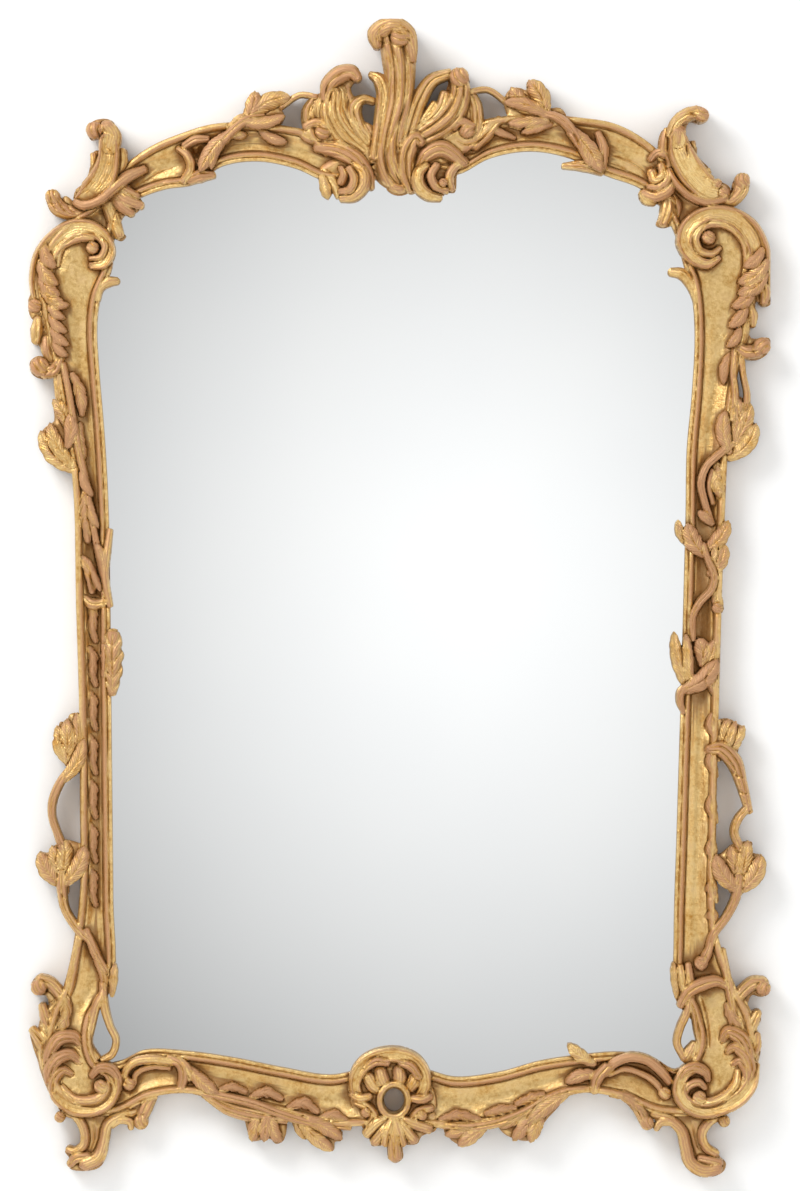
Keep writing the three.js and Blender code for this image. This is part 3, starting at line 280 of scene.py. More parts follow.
# %% Hollowed bands
INNER_LIP = 0.8
LIP_FALL = 0.55


def band(points, low=OVER, leafy=0.1, lip=0.3, hollow=0.45):
    win, reach, _, side, crown, width, bottom = stroke(points, low)
    lips = [np.exp(-(((np.abs(side - edge * (1 - lip))) / (0.9 * lip)) ** 2)) for edge in (-1, 1)]
    lips = np.maximum(lips[0], INNER_LIP * lips[1])
    fall = LIP_FALL * width * np.clip((np.abs(side) - 1 + lip) / lip, 0, 1) ** 2
    height = crown - hollow * width * (1 - lips) - fall
    carve(win, height, crown, bottom, reach, leafy, lines=side * width)

# %% [markdown]
# A leaf has a vein down its middle, side veins that sweep forwards to its lobes, and a notch in its edge between
# two lobes. The same tool cuts a straight leaflet and a big curling one, given points as for a ridge. A plain
# leaf is drawn from its base to its tip, with its half width and height, and rises from the one to the other.

# %% Leaves
RELIEF, RIB, MIDRIB = 1.4, 1.1, 1.2
BLADE_FALL, BLADE_CROWN, MIDRIB_WIDTH = 0.55, 1.8, 0.9
VEIN_LINES = 9
LOBE = 9
LEAF_SHAPE = ((0, 0.45, -3.5), (0.22, 0.8, -1), (0.5, 1, 0), (0.78, 0.82, 0), (0.94, 0.45, -1.5), (1, 0.1, -2.5))


def acanthus(points, low=OVER, lobes=3, slant=1.2, notch=0.3, veins=1.4, leafy=1.0, vein=0.3):
    def notched(run):
        return 1 - notch * (1 - np.abs(np.sin(math.pi * (lobes * run - slant)))) ** 1.5 * (run > 0.12)

    win, reach, share, side, crown, width, bottom = stroke(points, low, notched)
    sweep = lobes * share - slant * np.abs(side)
    ribs = (1 - np.abs(np.sin(math.pi * sweep))) ** 1.2
    middle = np.exp(-((side * width / MIDRIB_WIDTH) ** 2))
    relief = RELIEF * np.clip(width / 7, 0.3, 1.6)
    height = crown - BLADE_FALL * width * np.abs(side) ** BLADE_CROWN
    height -= relief * (veins * RIB * ribs * np.clip(np.abs(side) * 3, 0.15, 1) + vein * MIDRIB * middle)
    carve(win, height, crown, np.minimum(bottom, crown - 2), reach, leafy, lines=VEIN_LINES * sweep)


def leaf(stem, half, height, low=OVER, bend=0.0, leafy=0.9):
    base, tip = drawn(stem)
    run = tip - base
    aside = np.array([-run[1], run[0]])
    points = []
    for t, share, rise in LEAF_SHAPE:
        at = base + run * t + aside * bend * math.sin(math.pi * t)
        points.append((at[0], at[1], height + rise, half * share))
    acanthus(points, low, max(3, round(math.hypot(*run) / LOBE)), 0.9, 0.1, 0.55, leafy, 1.0)

# %% [markdown]
# Where a leaf's tip rolls over, it is seen end on as a round boss, and the leaf's veins run over it side by side.

# %% Rolled tips
DOME, STRIPE = 0.8, 0.26


def knob(centre, radius, height, low=OVER, turn=0.6, leafy=0.7):
    centre = drawn(centre)
    win = window(centre, radius + NEARBY)
    x, y = places(win)
    x, y = x - centre[0, 0], y - centre[0, 1]
    distance = np.hypot(x, y)
    share = np.clip(distance / radius, 0, 1)
    dome = height - DOME * radius * (1 - np.sqrt(1 - 0.98 * share**2))
    u = (x * math.cos(turn) + y * math.sin(turn)) / radius
    v = (y * math.cos(turn) - x * math.sin(turn)) / radius
    stripes = (1 - np.abs(np.sin(math.pi * (1.5 * v + 0.5 * u * u + 0.5)))) ** 1.4
    dome -= STRIPE * radius * stripes
    carve(win, dome, height, low, radius - distance, leafy, lines=radius * (v + 0.33 * u * u))

# %% [markdown]
# Leaves stand on a ground, a sawn piece of board whose edge has been rounded over. It is given by its outline.

# %% Grounds
ROUNDED, ROUNDED_OVER = 3.5, 6.0
GROUND_LEAFAGE, GROUND_GROOVE = 0.6, 0.8


def outline_reach(outline, grow=NEARBY):
    win = window(outline, grow)
    x, y = places(win)
    distance = np.full(x.shape, -FAR_OUT)
    odd = np.zeros(x.shape, bool)
    for (ax, ay), (bx, by) in zip(outline, np.roll(outline, -1, axis=0)):
        ex, ey = bx - ax, by - ay
        u = np.clip(((x - ax) * ex + (y - ay) * ey) / max(ex * ex + ey * ey, 1e-9), 0, 1)
        distance = np.minimum(distance, np.hypot(x - ax - u * ex, y - ay - u * ey))
        if ey:
            odd ^= ((ay > y) != (by > y)) & (x < ax + ex * (y - ay) / ey)
    return win, np.where(odd, distance, -distance)


def ground(outline, height, low=WALL):
    win, reach = outline_reach(smooth(outline, 4, closed=True))
    top = height - ROUNDED * np.clip(1 - reach / ROUNDED_OVER, 0, 1) ** 2
    carve(win, top, height - ROUNDED, low, reach, GROUND_LEAFAGE, GROUND_GROOVE)

# %% [markdown]
# ## The moulding
# Under all the carving runs one moulding: a bead at the sight edge, a wide hollow, and a bead at the outer edge.
# On the real frame it was worked with planes and gouges along lines drawn by hand, so its width changes all the
# way round. Each station below gives a point of the sight edge and the point of the outer edge across from it.

# %% The two edges of the moulding
LINE = drawn(
    "113 985 64 985, 113 900 79 905, 112 800 80 800, 111 700 79 700, 110 600 76 600, 108 500 74 500, "
    "104 430 68 440, 99 370 57 385, 97 325 46 325, 101 296 38 285, 112 268 42 255, 114 240 60 230, "
    "121 214 92 206, 138 199 122 168, 165 189 150 147, 195 184 180 134, 222 166 214 124, "
    "258 161 258 123, 295 168 297 128, 330 182 330 136, 365 176 362 140, 398 170 398 140, "
    "430 172 432 138, 458 174 465 127, 490 158 494 118, 530 151 532 115, 570 158 582 118, "
    "605 175 618 125, 640 188 655 148, 660 206 685 186, 675 234 716 208, 683 262 750 228, "
    "692 295 760 262, 695 335 750 310, 692 395 736 385, 687 450 728 450, 686 510 725 510, "
    "684 590 722 590, 681 700 719 700, 677 830 716 830, 674 940 717 930, 676 1000 735 985, "
    "694 1025 752 1020, 693 1052 753 1065, 676 1069 728 1104, 652 1057 665 1113, 620 1052 622 1098, "
    "580 1055 580 1093, 540 1061 545 1106, 500 1072 500 1122, 455 1077 455 1128, 428 1070 428 1126, "
    "394 1062 394 1122, 358 1070 358 1126, 330 1075 328 1125, 280 1067 280 1113, 235 1058 232 1102, "
    "185 1051 185 1093, 145 1050 148 1098, 120 1061 112 1113, 100 1062 62 1098, 91 1040 45 1060, "
    "95 1014 50 1020"
)
sight_edge = smooth(LINE[:, :2], 6, closed=True)
outer_edge = smooth(LINE[:, 2:], 6, closed=True)
print("moulding", round(np.linalg.norm(np.diff(sight_edge, axis=0), axis=1).sum()), "mm round the glass")

# %% [markdown]
# The profile is worked from the sight edge outwards: a small bead and a big one, the hollow, and the bead of the
# rim, with a quirk, a narrow groove, on the inner side of each big bead. It is laid over the block in small
# four-sided patches between two stations, each split into two triangles.

# %% Its profile
BEAD, RIM = 9.0, 7.0
BEAD_FOOT, BEAD_RISE = 20, 5
RIM_FOOT, RIM_RISE = 22, 5.5
HOLLOW_START, HOLLOW_RISE, HOLLOW_DIP = 17.6, 4.6, 3.4
QUIRK, QUIRK_DEPTH, QUIRK_OFF = 0.8, 1.6, 0.9
OVERLAP = 0.02


def rounded(offset, half):
    return np.clip(1 - (offset / half) ** 2, 0, None)


def profile(offset, width):
    across = np.clip((offset - BEAD - 1.5) / np.maximum(width - BEAD - RIM - 3, 1), 0, 1)
    height = HOLLOW_START + HOLLOW_RISE * across**2 - HOLLOW_DIP * np.sin(math.pi * across) ** 0.9
    bead = np.maximum(rounded(offset - 0.72 * BEAD, 0.31 * BEAD),
                      0.35 * rounded(offset - 0.2 * BEAD, 0.26 * BEAD))
    rim = rounded(offset - width + RIM / 2, RIM / 2 + 0.4)
    height = np.where(bead > 0, np.maximum(height, BEAD_FOOT + BEAD_RISE * np.sqrt(bead)), height)
    height = np.where(rim > 0, np.maximum(height, RIM_FOOT + RIM_RISE * np.sqrt(rim)), height)
    quirks = sum(np.exp(-((at / QUIRK) ** 2))
                 for at in (offset - BEAD - QUIRK_OFF, offset - width + RIM + QUIRK_OFF))
    return height - QUIRK_DEPTH * quirks


def moulding():
    count = len(sight_edge)
    for i in range(count):
        s, o = sight_edge[[i, (i + 1) % count]], outer_edge[[i, (i + 1) % count]]
        width = np.linalg.norm(o - s, axis=1)
        out = (o - s) / width[:, None] * SPARE
        corners = np.array([s[0] - out[0], s[1] - out[1], o[1] + out[1], o[0] + out[0]])
        offsets = np.array([-SPARE, -SPARE, width[1] + SPARE, width[0] + SPARE])
        widths = np.array([width[0], width[1], width[1], width[0]])
        win = window(corners, 1)
        x, y = places(win)
        for face in ((0, 1, 2), (0, 2, 3)):
            (ax, ay), (bx, by), (cx, cy) = corners[list(face)]
            area = (bx - ax) * (cy - ay) - (cx - ax) * (by - ay)
            if abs(area) < 1 / FAR:
                continue
            v = ((x - ax) * (cy - ay) - (cx - ax) * (y - ay)) / area
            w = ((bx - ax) * (y - ay) - (x - ax) * (by - ay)) / area
            hit = (v >= -OVERLAP) & (w >= -OVERLAP) & (v + w <= 1 + OVERLAP)
            offset, wide = (values[face[0]] * (1 - v - w) + values[face[1]] * v + values[face[2]] * w
                            for values in (offsets, widths))
            reach = np.minimum(offset, wide - offset)
            better = hit & (reach > inside[win])
            surface[win] = np.where(better, profile(np.clip(offset, 0, wide), wide), surface[win])
            under[win] = np.where(better, WALL, under[win])
            inside[win] = np.where(better, reach, inside[win])


moulding()
print("moulding covers", round((inside > 0).sum() * CELL**2 / 100), "square cm")

# %% [markdown]
# At its four corners the moulding swells forwards, so that the scrolls there stand out from the rails.

# %% The swellings at the corners
SWELLINGS = ((76, 262), (722, 256), (82, 1060), (718, 1056))
SWELL_ACROSS, SWELL_DOWN, SWELL_HEIGHT = 26, 58, 9

for centre in SWELLINGS:
    x, y = np.meshgrid(across_of - centre[0], down_of - centre[1])
    swelling = SWELL_HEIGHT * np.exp(-(x / SWELL_ACROSS) ** 2 - (y / SWELL_DOWN) ** 2)
    surface[:] += np.where(inside > 0, swelling, 0)
print("the highest place of the moulding", round(surface.max(), 1))

# %% [markdown]
# ## The crest
# A plume rises from the middle of the top rail and rolls over to the left. Fans of leaves stand on either side
# of it, and the two arches end in volutes at its foot. It is drawn from the back forwards, first the boards and
# then each leaf over the one behind it, because a form cuts its groove into what is already there.

# %% The crest
# the boards that the leaves stand on
ground("322 148, 306 133, 303 122, 308 108, 312 97, 322 92, 326 84, 335 73, 348 67, 359 71, 362 78, 354 83, "
       "351 88, 354 96, 364 97, 374 99, 374 105, 364 104, 362 112, 363 120, 370 124, 380 132, 380 160, 350 165",
       27, FREE)
ground("400 150, 410 128, 426 128, 433 115, 432 104, 438 100, 445 92, 448 84, 448 74, 460 68, 469 78, 470 90, "
       "477 100, 480 112, 478 120, 498 118, 492 132, 470 150, 440 165, 405 165", 27, FREE)
ground("318 172, 330 160, 350 158, 368 172, 367 189, 358 197, 346 200, 337 198, 334 190, 330 197, 322 196, "
       "320 186", 22, OVER)
ground("415 182, 416 166, 430 155, 450 152, 462 160, 457 175, 455 192, 447 193, 440 198, 428 199, 419 193",
       22, OVER)
# the fan on the left, with the rolled leaf on top of it
ridge("330 150 28 8, 315 132 30 11, 309 112 29 8, 316 97 28 4", FREE, 2, 0.5, 0.7)
ridge("368 142 29 6, 357 126 31 9, 354 108 32 8, 363 99 30 4.5, 375 101 27 3", FREE, 2, 0, 0.5)
ridge("364 152 29 12, 344 136 34 19, 332 114 36 21, 334 93 35 13", FREE, 5, 0, 0.6)
ridge("325 100 34 4, 328 86 37 8, 340 75 41 9, 352 73 43 7.5, 358 79 42 4.5", MID, 2, 1, 0.5)
cuts("332 82, 343 75, 354 76, 357 81; 328 84, 326 92, 324 100", 1.3, 2.2)
cuts("341 86, 340 104, 345 122, 356 138; 349 97, 348 110, 352 121, 359 133; 331 92, 331 108, 337 124, 350 142; "
     "314 98, 313 112, 322 126, 340 144", 1.7, 2.4)
knob("323 132", 8, 34, turn=0.3)
ridge("305 127 29 4, 315 123 32 4.5, 328 125 32 4", FREE, 1, 0.9)
cut("312 139, 322 143, 334 146", 1.8, 4)
# the sheath round the end of the left arch
ridge("316 147 27 5, 338 150 33 9, 356 160 36 9, 367 175 33 7, 371 188 28 4", OVER, 3, 0.8, 0.6)
cut("324 156, 342 157, 356 167, 362 178", 1.6, 3)
# the volute of the left arch
ridge("324 174 23 5, 334 184 26 6, 339 197 26 3.5")
ridge("341 199 28 3.5, 354 196 34 6, 363 186 37 7, 363 173 37 6, 354 165 34 4", leafy=0.4)
ridge("340 192 30 3, 350 190 37 4.5, 354 179 38 4.5, 349 168 36 3.5")
ridge("341 183 30 4, 344 175 33 4, 341 168 31 3", leafy=0.2)
leaf("322 176, 328 199", 6, 28, leafy=0.1)
# the plume
ridge("400 180 27 16, 395 171 33 21, 391 158 37 20, 391 142 40 15, 395 122 43 13.5, 399 102 45 13.5, "
      "400 82 47 15, 399 62 50 17, 396 44 52 16.5, 394 36 52 15", [OVER, FREE], 3, 0.25, 0.7)
cuts("401 47, 407 64, 409 86, 405 106, 397 126, 390 142, 386 158, 388 176, 400 198; 390 46, 396 60, 400 78, "
     "399 96, 396 112, 391 128; 383 47, 389 60, 391 74, 389 90, 386 104; 378 148, 376 164, 380 180, 391 199; "
     "391 150, 392 165, 399 180, 412 196; 400 140, 400 158, 406 174, 418 186", 2, 3.6)
ridge("377 46 48 5, 376 36 52 9, 385 29 56 9, 397 28 57 8.5, 407 36 55 9, 411 50 51 7, 413 62 47 3.5",
      MID, 1, 1)
knob("400 39", 9.5, 58, MID, 0.2, 0.9)
cuts("394 29, 390 36, 392 45; 376 40, 382 44, 392 46; 388 26, 380 31, 378 40; 403 32, 409 34, 414 42; 403 38, "
     "409 42, 413 52", 1.6, 3)
# the small leaves beside it
ridge("371 75 32 3.5, 379 80 36 7, 384 94 37 8, 382 114 36 8, 379 136 34 7, 376 158 31 7",
      [FREE, OVER], 2, 0.05, 0.6)
cut("372 76, 378 84, 382 95, 380 112, 378 130", depth=3)
ridge("405 146 34 8, 411 124 37 9, 420 99 39 8.5, 432 81 39 7, 450 74 39 5", FREE, 2, 0.3, 0.7)
# the leaf on the right
ridge("410 138 31 5, 424 120 33 5, 435 104 33 4.5", FREE, 1, 0)
ridge("406 144 32 8, 430 132 36 13, 451 115 38 14, 460 92 40 10.5, 459 80 40 9", FREE, 3, 0.15, 0.8)
ridge("426 124 32 5, 440 109 35 6.5, 445 94 35 5.5", FREE, 2, 0, 0.6)
cuts("463 90, 464 104, 456 120, 440 132, 420 140; 450 90, 452 100, 446 112, 432 124", 1.9, 3.4)
knob("459 78", 10, 44, FREE, 1, 1)
ridge("474 142 27 5, 477 122 30 7, 476 106 30 6.5, 470 92 30 4.5", FREE, 2, 0.4, 0.7)
knob("467 131", 7.5, 34, OVER, 2.4, 1)
ridge("453 128 31 4, 461 122 33 4.5, 473 127 31 4", FREE, 1, 1)
ridge("474 146 27 6, 486 134 28 7.5, 500 119 26 4", FREE, 2, 0.2, 0.7)
cuts("454 140, 466 145, 478 142, 492 130; 448 150, 462 154, 478 152", 1.8, 3.2)
# the sheath and the volute of the right arch
ridge("412 190 26 6, 406 172 34 10, 407 152 38 10.5, 416 139 39 8, 421 143 37 5", [OVER, MID], 2, 0.3, 0.7)
cut("420 141, 419 150, 413 162, 411 178", 1.7, 3.4)
ridge("418 168 31 4, 427 155 35 8, 441 149 36 9, 455 156 34 7, 465 164 28 4", OVER, 3, 0.8, 0.6)
cut("440 158, 448 162, 455 170", 2.2, 4)
ridge("440 198 28 4, 428 195 34 6, 419 186 37 7, 419 173 37 6, 427 166 34 4")
ridge("447 191 29 3.5, 436 187 35 4.5, 431 176 37 4.5, 437 165 35 3.5")
knob("443 183", 4.5, 36, leafy=0.3)
ridge("452 190 26 3, 449 178 31 4.5, 454 168 30 4.5, 466 160 26 4", leafy=0)
# the shoots that join the crest to the sprays
ridge("316 97 29 3, 300 95 27 2.8, 281 107 27 3", FREE, 1, 0.6)
ridge("470 92 31 3, 488 90 29 2.8, 508 104 28 3", FREE, 1, 0.6)
print("the crest", round(surface.max(), 1))

# %% [markdown]
# ## The sprays on the arches
# A leafy spray lies across each arch, its stem cut free of the hollow behind it. Its leaves are too small to
# curl, so each is one straight leaf from base to tip, bent a little to one side.

# %% The sprays on the arches
ground("232 122, 246 112, 251 96, 258 92, 263 98, 285 95, 289 98, 281 108, 284 114, 282 123, 262 128, 240 128",
       25, FREE)
ground("505 96, 512 88, 520 88, 526 90, 527 82, 533 81, 540 92, 544 108, 560 108, 566 116, 560 125, 510 128, "
       "507 115, 504 105", 25, FREE)
# left arch: its inner mouldings, the sheath, the crossing stems and the leaves above them
cuts("143 181, 160 172, 178 166; 146 190, 165 182, 183 176", 1.4, 2.2)
cut("138 168, 155 160, 172 158", 3, 1.6)
ridge("178 148 25 3, 187 155 30 4.5, 191 168 30 4.5, 183 182 26 4")
ridge("184 146 27 4, 195 140 31 5, 208 139 30 3.5", OVER, 2, 1, 0.7)
ridge("264 117 31 3.5, 248 120 34 4.5, 234 130 35 4.5, 223 141 35 5", MID, 2, 1, 0.7)
leaf("228 134, 200 172", 8.5, 36, MID, 0.06, 0.5)
leaf("231 131, 211 170", 5, 34, MID, 0.1)
cut("189 147, 196 154, 203 146", 5, 10)
ridge("190 180 27 5, 200 176 31 7, 214 175 28 3.5", OVER, 3, 0.9, 0.8)
leaf("246 120, 255 92", 9, 32, FREE, 0.1)
leaf("249 118, 290 97", 9.5, 31, FREE, -0.12)
leaf("240 122, 285 116", 6.5, 35, MID, 0.1)
leaf("228 130, 246 114", 5, 31, FREE)
leaf("231 136, 247 135", 4.5, 29, leafy=0.1)
leaf("260 130, 287 142", 5.5, 29, OVER, 0.1, 0.7)
leaf("299 132, 313 143", 4, 27, leafy=0.5)
# right arch
cuts("604 153, 625 159, 642 169, 652 182; 604 161, 622 167, 638 178", 1.4, 2.2)
cut("608 140, 625 146, 645 150", 3, 1.6)
ridge("598 133 27 3.5, 603 148 32 5.5, 602 168 30 5", OVER, 2, 0.8, 0.6)
ridge("538 113 30 3.5, 556 117 34 4.5, 568 126 36 5, 577 139 36 5", MID, 2, 1, 0.7)
leaf("571 130, 601 172", 9.5, 36, MID, -0.05, 0.5)
leaf("568 132, 590 168", 5.5, 33, MID, -0.1, 0.8)
ridge("602 172 26 4, 584 166 29 6, 563 166 26 3", OVER, 3, 0.8, 0.8)
cut("566 132, 574 136, 579 146", 3, 6)
leaf("545 114, 529 81", 10, 33, FREE, 0.1)
leaf("540 114, 511 88", 9, 31, FREE, -0.1)
leaf("548 117, 504 103", 7, 34, FREE, 0.1)
leaf("548 121, 508 124", 6, 32)
leaf("552 124, 521 133", 4.5, 29)
leaf("515 138, 483 126", 4, 25)
print("the sprays on the arches", round(surface.max(), 1))

# %% [markdown]
# ## The top left corner
# A horned leaf stands on the corner, a fan fills the inner corner, and a big C-scroll runs down into the rail.
# The scroll starts on the wall and ends over the glass, so its underside changes along the way. The leaves of the
# rib below it lie over one another like tiles, and they are set from the bottom up.

# %% The top left corner
ground("74 205, 76 190, 86 186, 92 176, 91 158, 95 151, 101 150, 99 139, 91 140, 87 131, 91 123, 101 119, "
       "112 121, 119 132, 120 147, 127 150, 128 166, 140 168, 130 182, 113 199, 95 207, 80 210", 27, FREE)
ground("46 196, 50 190, 57 191, 60 199, 66 196, 74 202, 85 212, 80 220, 66 218, 54 212, 48 205", 25, FREE)
ground("113 190, 120 180, 138 195, 143 205, 132 215, 124 216, 120 230, 126 236, 121 241, 113 236, 111 215",
       23, OVER)
ground("28 300, 31 318, 36 322, 31 340, 38 345, 44 352, 52 366, 62 360, 60 330, 50 300, 40 285", 23)
ground("30 362, 38 356, 52 358, 60 350, 62 365, 56 376, 42 379, 32 374", 25, FREE)
# the horned leaf, with its side lobes and its rolled rim
ridge("78 192 28 3, 88 185 33 4.5, 94 172 35 4.5, 94 155 34 3.5", FREE, 1, 0.3)
ridge("119 172 30 4, 123 162 33 5, 122 151 32 4", FREE, 1, 0.2)
band("80 202 31 7, 92 193 37 14, 104 177 41 14, 109 158 43 11, 109 140 45 9.5", [OVER, FREE], 0.05, 0.22, 0.3)
cuts("108 146, 106 165, 96 186; 114 150, 113 168, 102 189", 1.6, 1.8)
ridge("76 203 33 4, 84 206 39 4.5, 100 201 41 4.5, 114 189 40 5, 128 177 35 6, 145 169 27 4", leafy=1)
cut("80 211, 98 207, 112 196, 124 186, 134 180", 1.8, 5)
ridge("111 148 43 9, 113 136 46 8.5, 107 127 47 7", FREE, 1, 0.6)
knob("95 131", 8.5, 46, FREE, 1.4)
cut("103 121, 99 130, 101 141", 2, 5)
cut("104 133, 111 135, 118 141", 1.2, 2)
ridge("88 215 26 4, 70 213 31 7, 58 208 34 8, 53 198 35 7.5", FREE, 1, 0.8)
knob("53 197", 7.5, 37, FREE, 1.2)
cuts("58 200, 63 209, 72 216; 67 203, 71 210, 78 215; 51 196, 52 204, 58 212", depth=3.4)
# the fan and the drop in the inner corner
ridge("116 186 28 5, 126 192 32 6, 137 197 28 4.5")
ridge("113 190 28 5, 126 200 33 6.5, 142 206 28 4", leafy=0.6)
ridge("113 195 27 5, 122 206 31 6.5, 132 214 27 4", leafy=0.9)
ridge("108 204 27 7, 113 218 28 7, 119 236 28 5.5", leafy=0)
cut("119 206, 114 218, 112 230", 1.4, 3)
# the C-scroll
band("42 302 24 10, 41 280 28 12.5, 45 258 32 12.5, 56 241 34 11, 74 229 36 10, 93 230 36 8.5, 105 240 35 7, "
     "109 253 34 6.5, 103 264 33 5.5, 91 266 29 3.5", [WALL, OVER], 0.1, 0.26, 0.42)
ridge("57 266 26 3, 62 247 30 4, 78 239 33 4, 94 238 34 3.5")
ridge("97 236 31 2.5, 105 246 35 3.5, 101 257 34 3.5, 90 259 30 2.5", leafy=0)
cut("55 264, 57 252, 66 243, 82 234, 96 234", 2.2, 4)
knob("93 248", 6.5, 36, leafy=0.2)
ridge("97 300 26 3.5, 100 288 27 4.5, 108 282 27 5.5, 117 281 25 4", leafy=0)
# the leafy rib below it
ridge("46 262 27 6, 49 290 29 7, 51 316 29 8, 55 340 29 7, 59 354 27 5", WALL, 2, 0.3)
for stem, half in (
    ("55 340, 68 356", 5), ("53 327, 69 345", 5.5), ("51 314, 67 332", 5.5), ("50 305, 65 318", 5),
    ("47 297, 69 305", 5.5), ("43 287, 64 303", 6.5), ("42 275, 60 296", 7), ("41 261, 58 285", 7.5),
    ("44 244, 56 268", 7),
):
    leaf(stem, half, 34, WALL, 0.15, 1)
knob("35 306", 7, 29, FREE, 0.4)
ridge("38 318 26 4, 37 330 29 7, 36 341 27 5", FREE, 2, 0.2, 0.6)
ridge("46 338 26 4, 46 350 29 5, 50 360 26 4", FREE, 1, 0.6)
ridge("61 358 27 4, 54 370 33 6, 44 373 34 6", FREE, 2, 1, 0.6)
knob("40 367", 9.5, 36, FREE, 0.9)
cuts("43 361, 48 367, 46 375; 54 362, 56 368, 50 376", 1.4, 3.4)
print("the top left corner", round(surface.max(), 1))

# %% [markdown]
# ## The top right corner
# It answers the left one, but its leaf leans outwards and its scroll is wound tighter. The carver didn't mirror
# one side on the other, so both are drawn from their own points.

# %% The top right corner
ground("728 200, 716 206, 700 204, 686 197, 672 180, 662 160, 658 150, 661 132, 668 127, 674 116, 684 109, "
       "698 106, 708 112, 708 120, 700 124, 690 122, 686 128, 687 141, 695 141, 697 155, 710 170, 711 178, "
       "721 182, 730 188", 27, FREE)
ground("720 205, 730 196, 733 182, 740 174, 747 175, 749 184, 745 196, 735 203", 25, FREE)
ground("640 190, 650 182, 668 182, 676 195, 682 205, 676 222, 664 228, 656 225, 658 218, 660 205, 645 204, "
       "639 199", 23, OVER)
ground("770 285, 770 305, 761 306, 757 300, 755 312, 756 325, 750 327, 751 338, 769 338, 770 350, 760 359, "
       "745 359, 734 350, 734 330, 740 300, 755 280", 23)
# the horned leaf
ridge("690 162 33 5, 693 152 34 4, 692 143 32 3", FREE, 1, 0.6)
ridge("664 156 33 5, 664 143 35 5, 667 130 34 3.5", FREE, 1, 0.5)
band("722 193 32 8, 707 189 37 13.5, 692 174 41 15, 681 154 43 13, 677 138 45 9", [OVER, FREE], 0.05, 0.2, 0.26)
ridge("677 143 43 8, 678 132 45 8", FREE, 1, 0.9)
cut("687 158, 686 148, 688 141", 1.8, 5)
cut("673 128, 669 140, 670 152", 1.4, 3)
ridge("669 137 39 4, 675 124 43 6, 686 116 46 7, 697 113 47 7", FREE, 2, 0.2, 0.5)
knob("701 116", 7.5, 48, FREE, 0.5)
cuts("687 113, 694 117, 699 124; 676 127, 684 121, 692 121", 1.6, 3.4)
knob("724 193", 6, 33, FREE, 0.4, 0.5)
knob("706 173", 5, 36, FREE, 2.2, 0.4)
knob("717 184", 5, 34, FREE, 2.2, 0.6)
ridge("667 166 30 3.5, 674 181 36 3.5, 690 197 38 4, 708 203 37 4, 727 199 31 3", leafy=1)
cut("667 172, 674 187, 688 199, 706 208", 2, 6)
ridge("718 204 27 4, 733 200 31 6.5, 741 190 34 7.5, 742 181 35 7.5", FREE, 1, 0.5)
knob("742 181", 8, 37, FREE, 1.2)
cuts("733 187, 732 196, 724 202; 745 182, 743 192, 736 200", depth=3)
# the roll, the fan and the drop in the inner corner
ridge("650 160 27 3, 657 153 32 4, 667 155 34 4.5, 671 165 32 4", OVER, 2, 1, 0.7)
ridge("652 172 26 5, 655 180 31 6, 663 176 33 5, 661 165 32 4", leafy=0)
ridge("648 187 29 3, 658 188 33 3.5, 667 181 34 3.5, 668 171 32 3", leafy=0.3)
ridge("643 193 27 4.5, 655 197 32 5.5, 668 191 33 5.5, 672 184 31 4", leafy=0.9)
ridge("654 203 25 3.5, 646 200 27 5, 642 193 26 4")
ridge("668 200 27 7.5, 667 212 29 8, 663 223 27 5.5", OVER, 2, 0, 0.5)
cut("669 198, 676 208, 678 223", 1.8, 4)
# the C-scroll
band("763 298 24 8, 761 272 28 10, 758 250 33 12, 747 229 36 12, 728 216 37 9.5, 707 215 37 8.5, "
     "690 225 37 8.5, 684 242 37 8.5, 692 257 36 7, 706 264 34 5.5, 719 258 30 3", [WALL, OVER], 0.1, 0.26, 0.4)
ridge("743 284 25 3, 747 262 30 4, 744 243 33 4, 732 229 34 4, 716 224 35 4, 702 228 37 4, 695 239 38 4.5, "
      "700 251 37 4.5, 711 254 35 4, 720 248 31 2.5")
cuts("742 270, 747 252, 743 237, 730 224, 714 220, 704 226, 701 236; 762 252, 758 236, 747 221, 735 212; "
     "692 236, 693 250, 702 258, 716 259; 700 242, 703 249, 712 250, 718 244", 1.7, 3.6)
knob("708 238", 7, 38, leafy=0.2)
ridge("697 302 25 3.5, 691 286 27 4.5, 682 274 27 6, 671 272 25 4.5", leafy=0)
cut("686 262, 696 272, 702 288", 1.6, 3)
# the leafy rib below it
ridge("752 272 28 8, 747 300 29 9, 744 322 29 8, 741 342 28 6", WALL, 3)
for stem, half in (
    ("739 328, 727 347", 5), ("745 306, 729 327", 6.5), ("753 290, 732 307", 6.5),
    ("765 275, 738 294", 8), ("766 262, 738 283", 8.5), ("762 250, 743 267", 6.5),
):
    leaf(stem, half, 35, WALL, -0.13, 1)
ridge("760 278 27 4, 765 292 30 6, 764 303 27 4", FREE, 2, 0.3, 0.7)
ridge("750 306 27 4, 753 316 29 5, 753 326 26 3", FREE, 1, 0.3)
ridge("736 346 28 5, 746 352 33 7, 758 351 34 7", FREE, 2, 1, 0.6)
knob("762 346", 8.5, 36, FREE, 2.4)
cut("754 341, 752 349, 757 357", depth=3.4)
print("the top right corner", round(surface.max(), 1))

# %% [markdown]
# ## The left rail
# Stems climb from the lower corner and cross the moulding, with leaves at every fork. Lower down they leave the
# rail and stand free beside it. The leaflets in the hollow are a run of like cuts, so a loop sets them out.

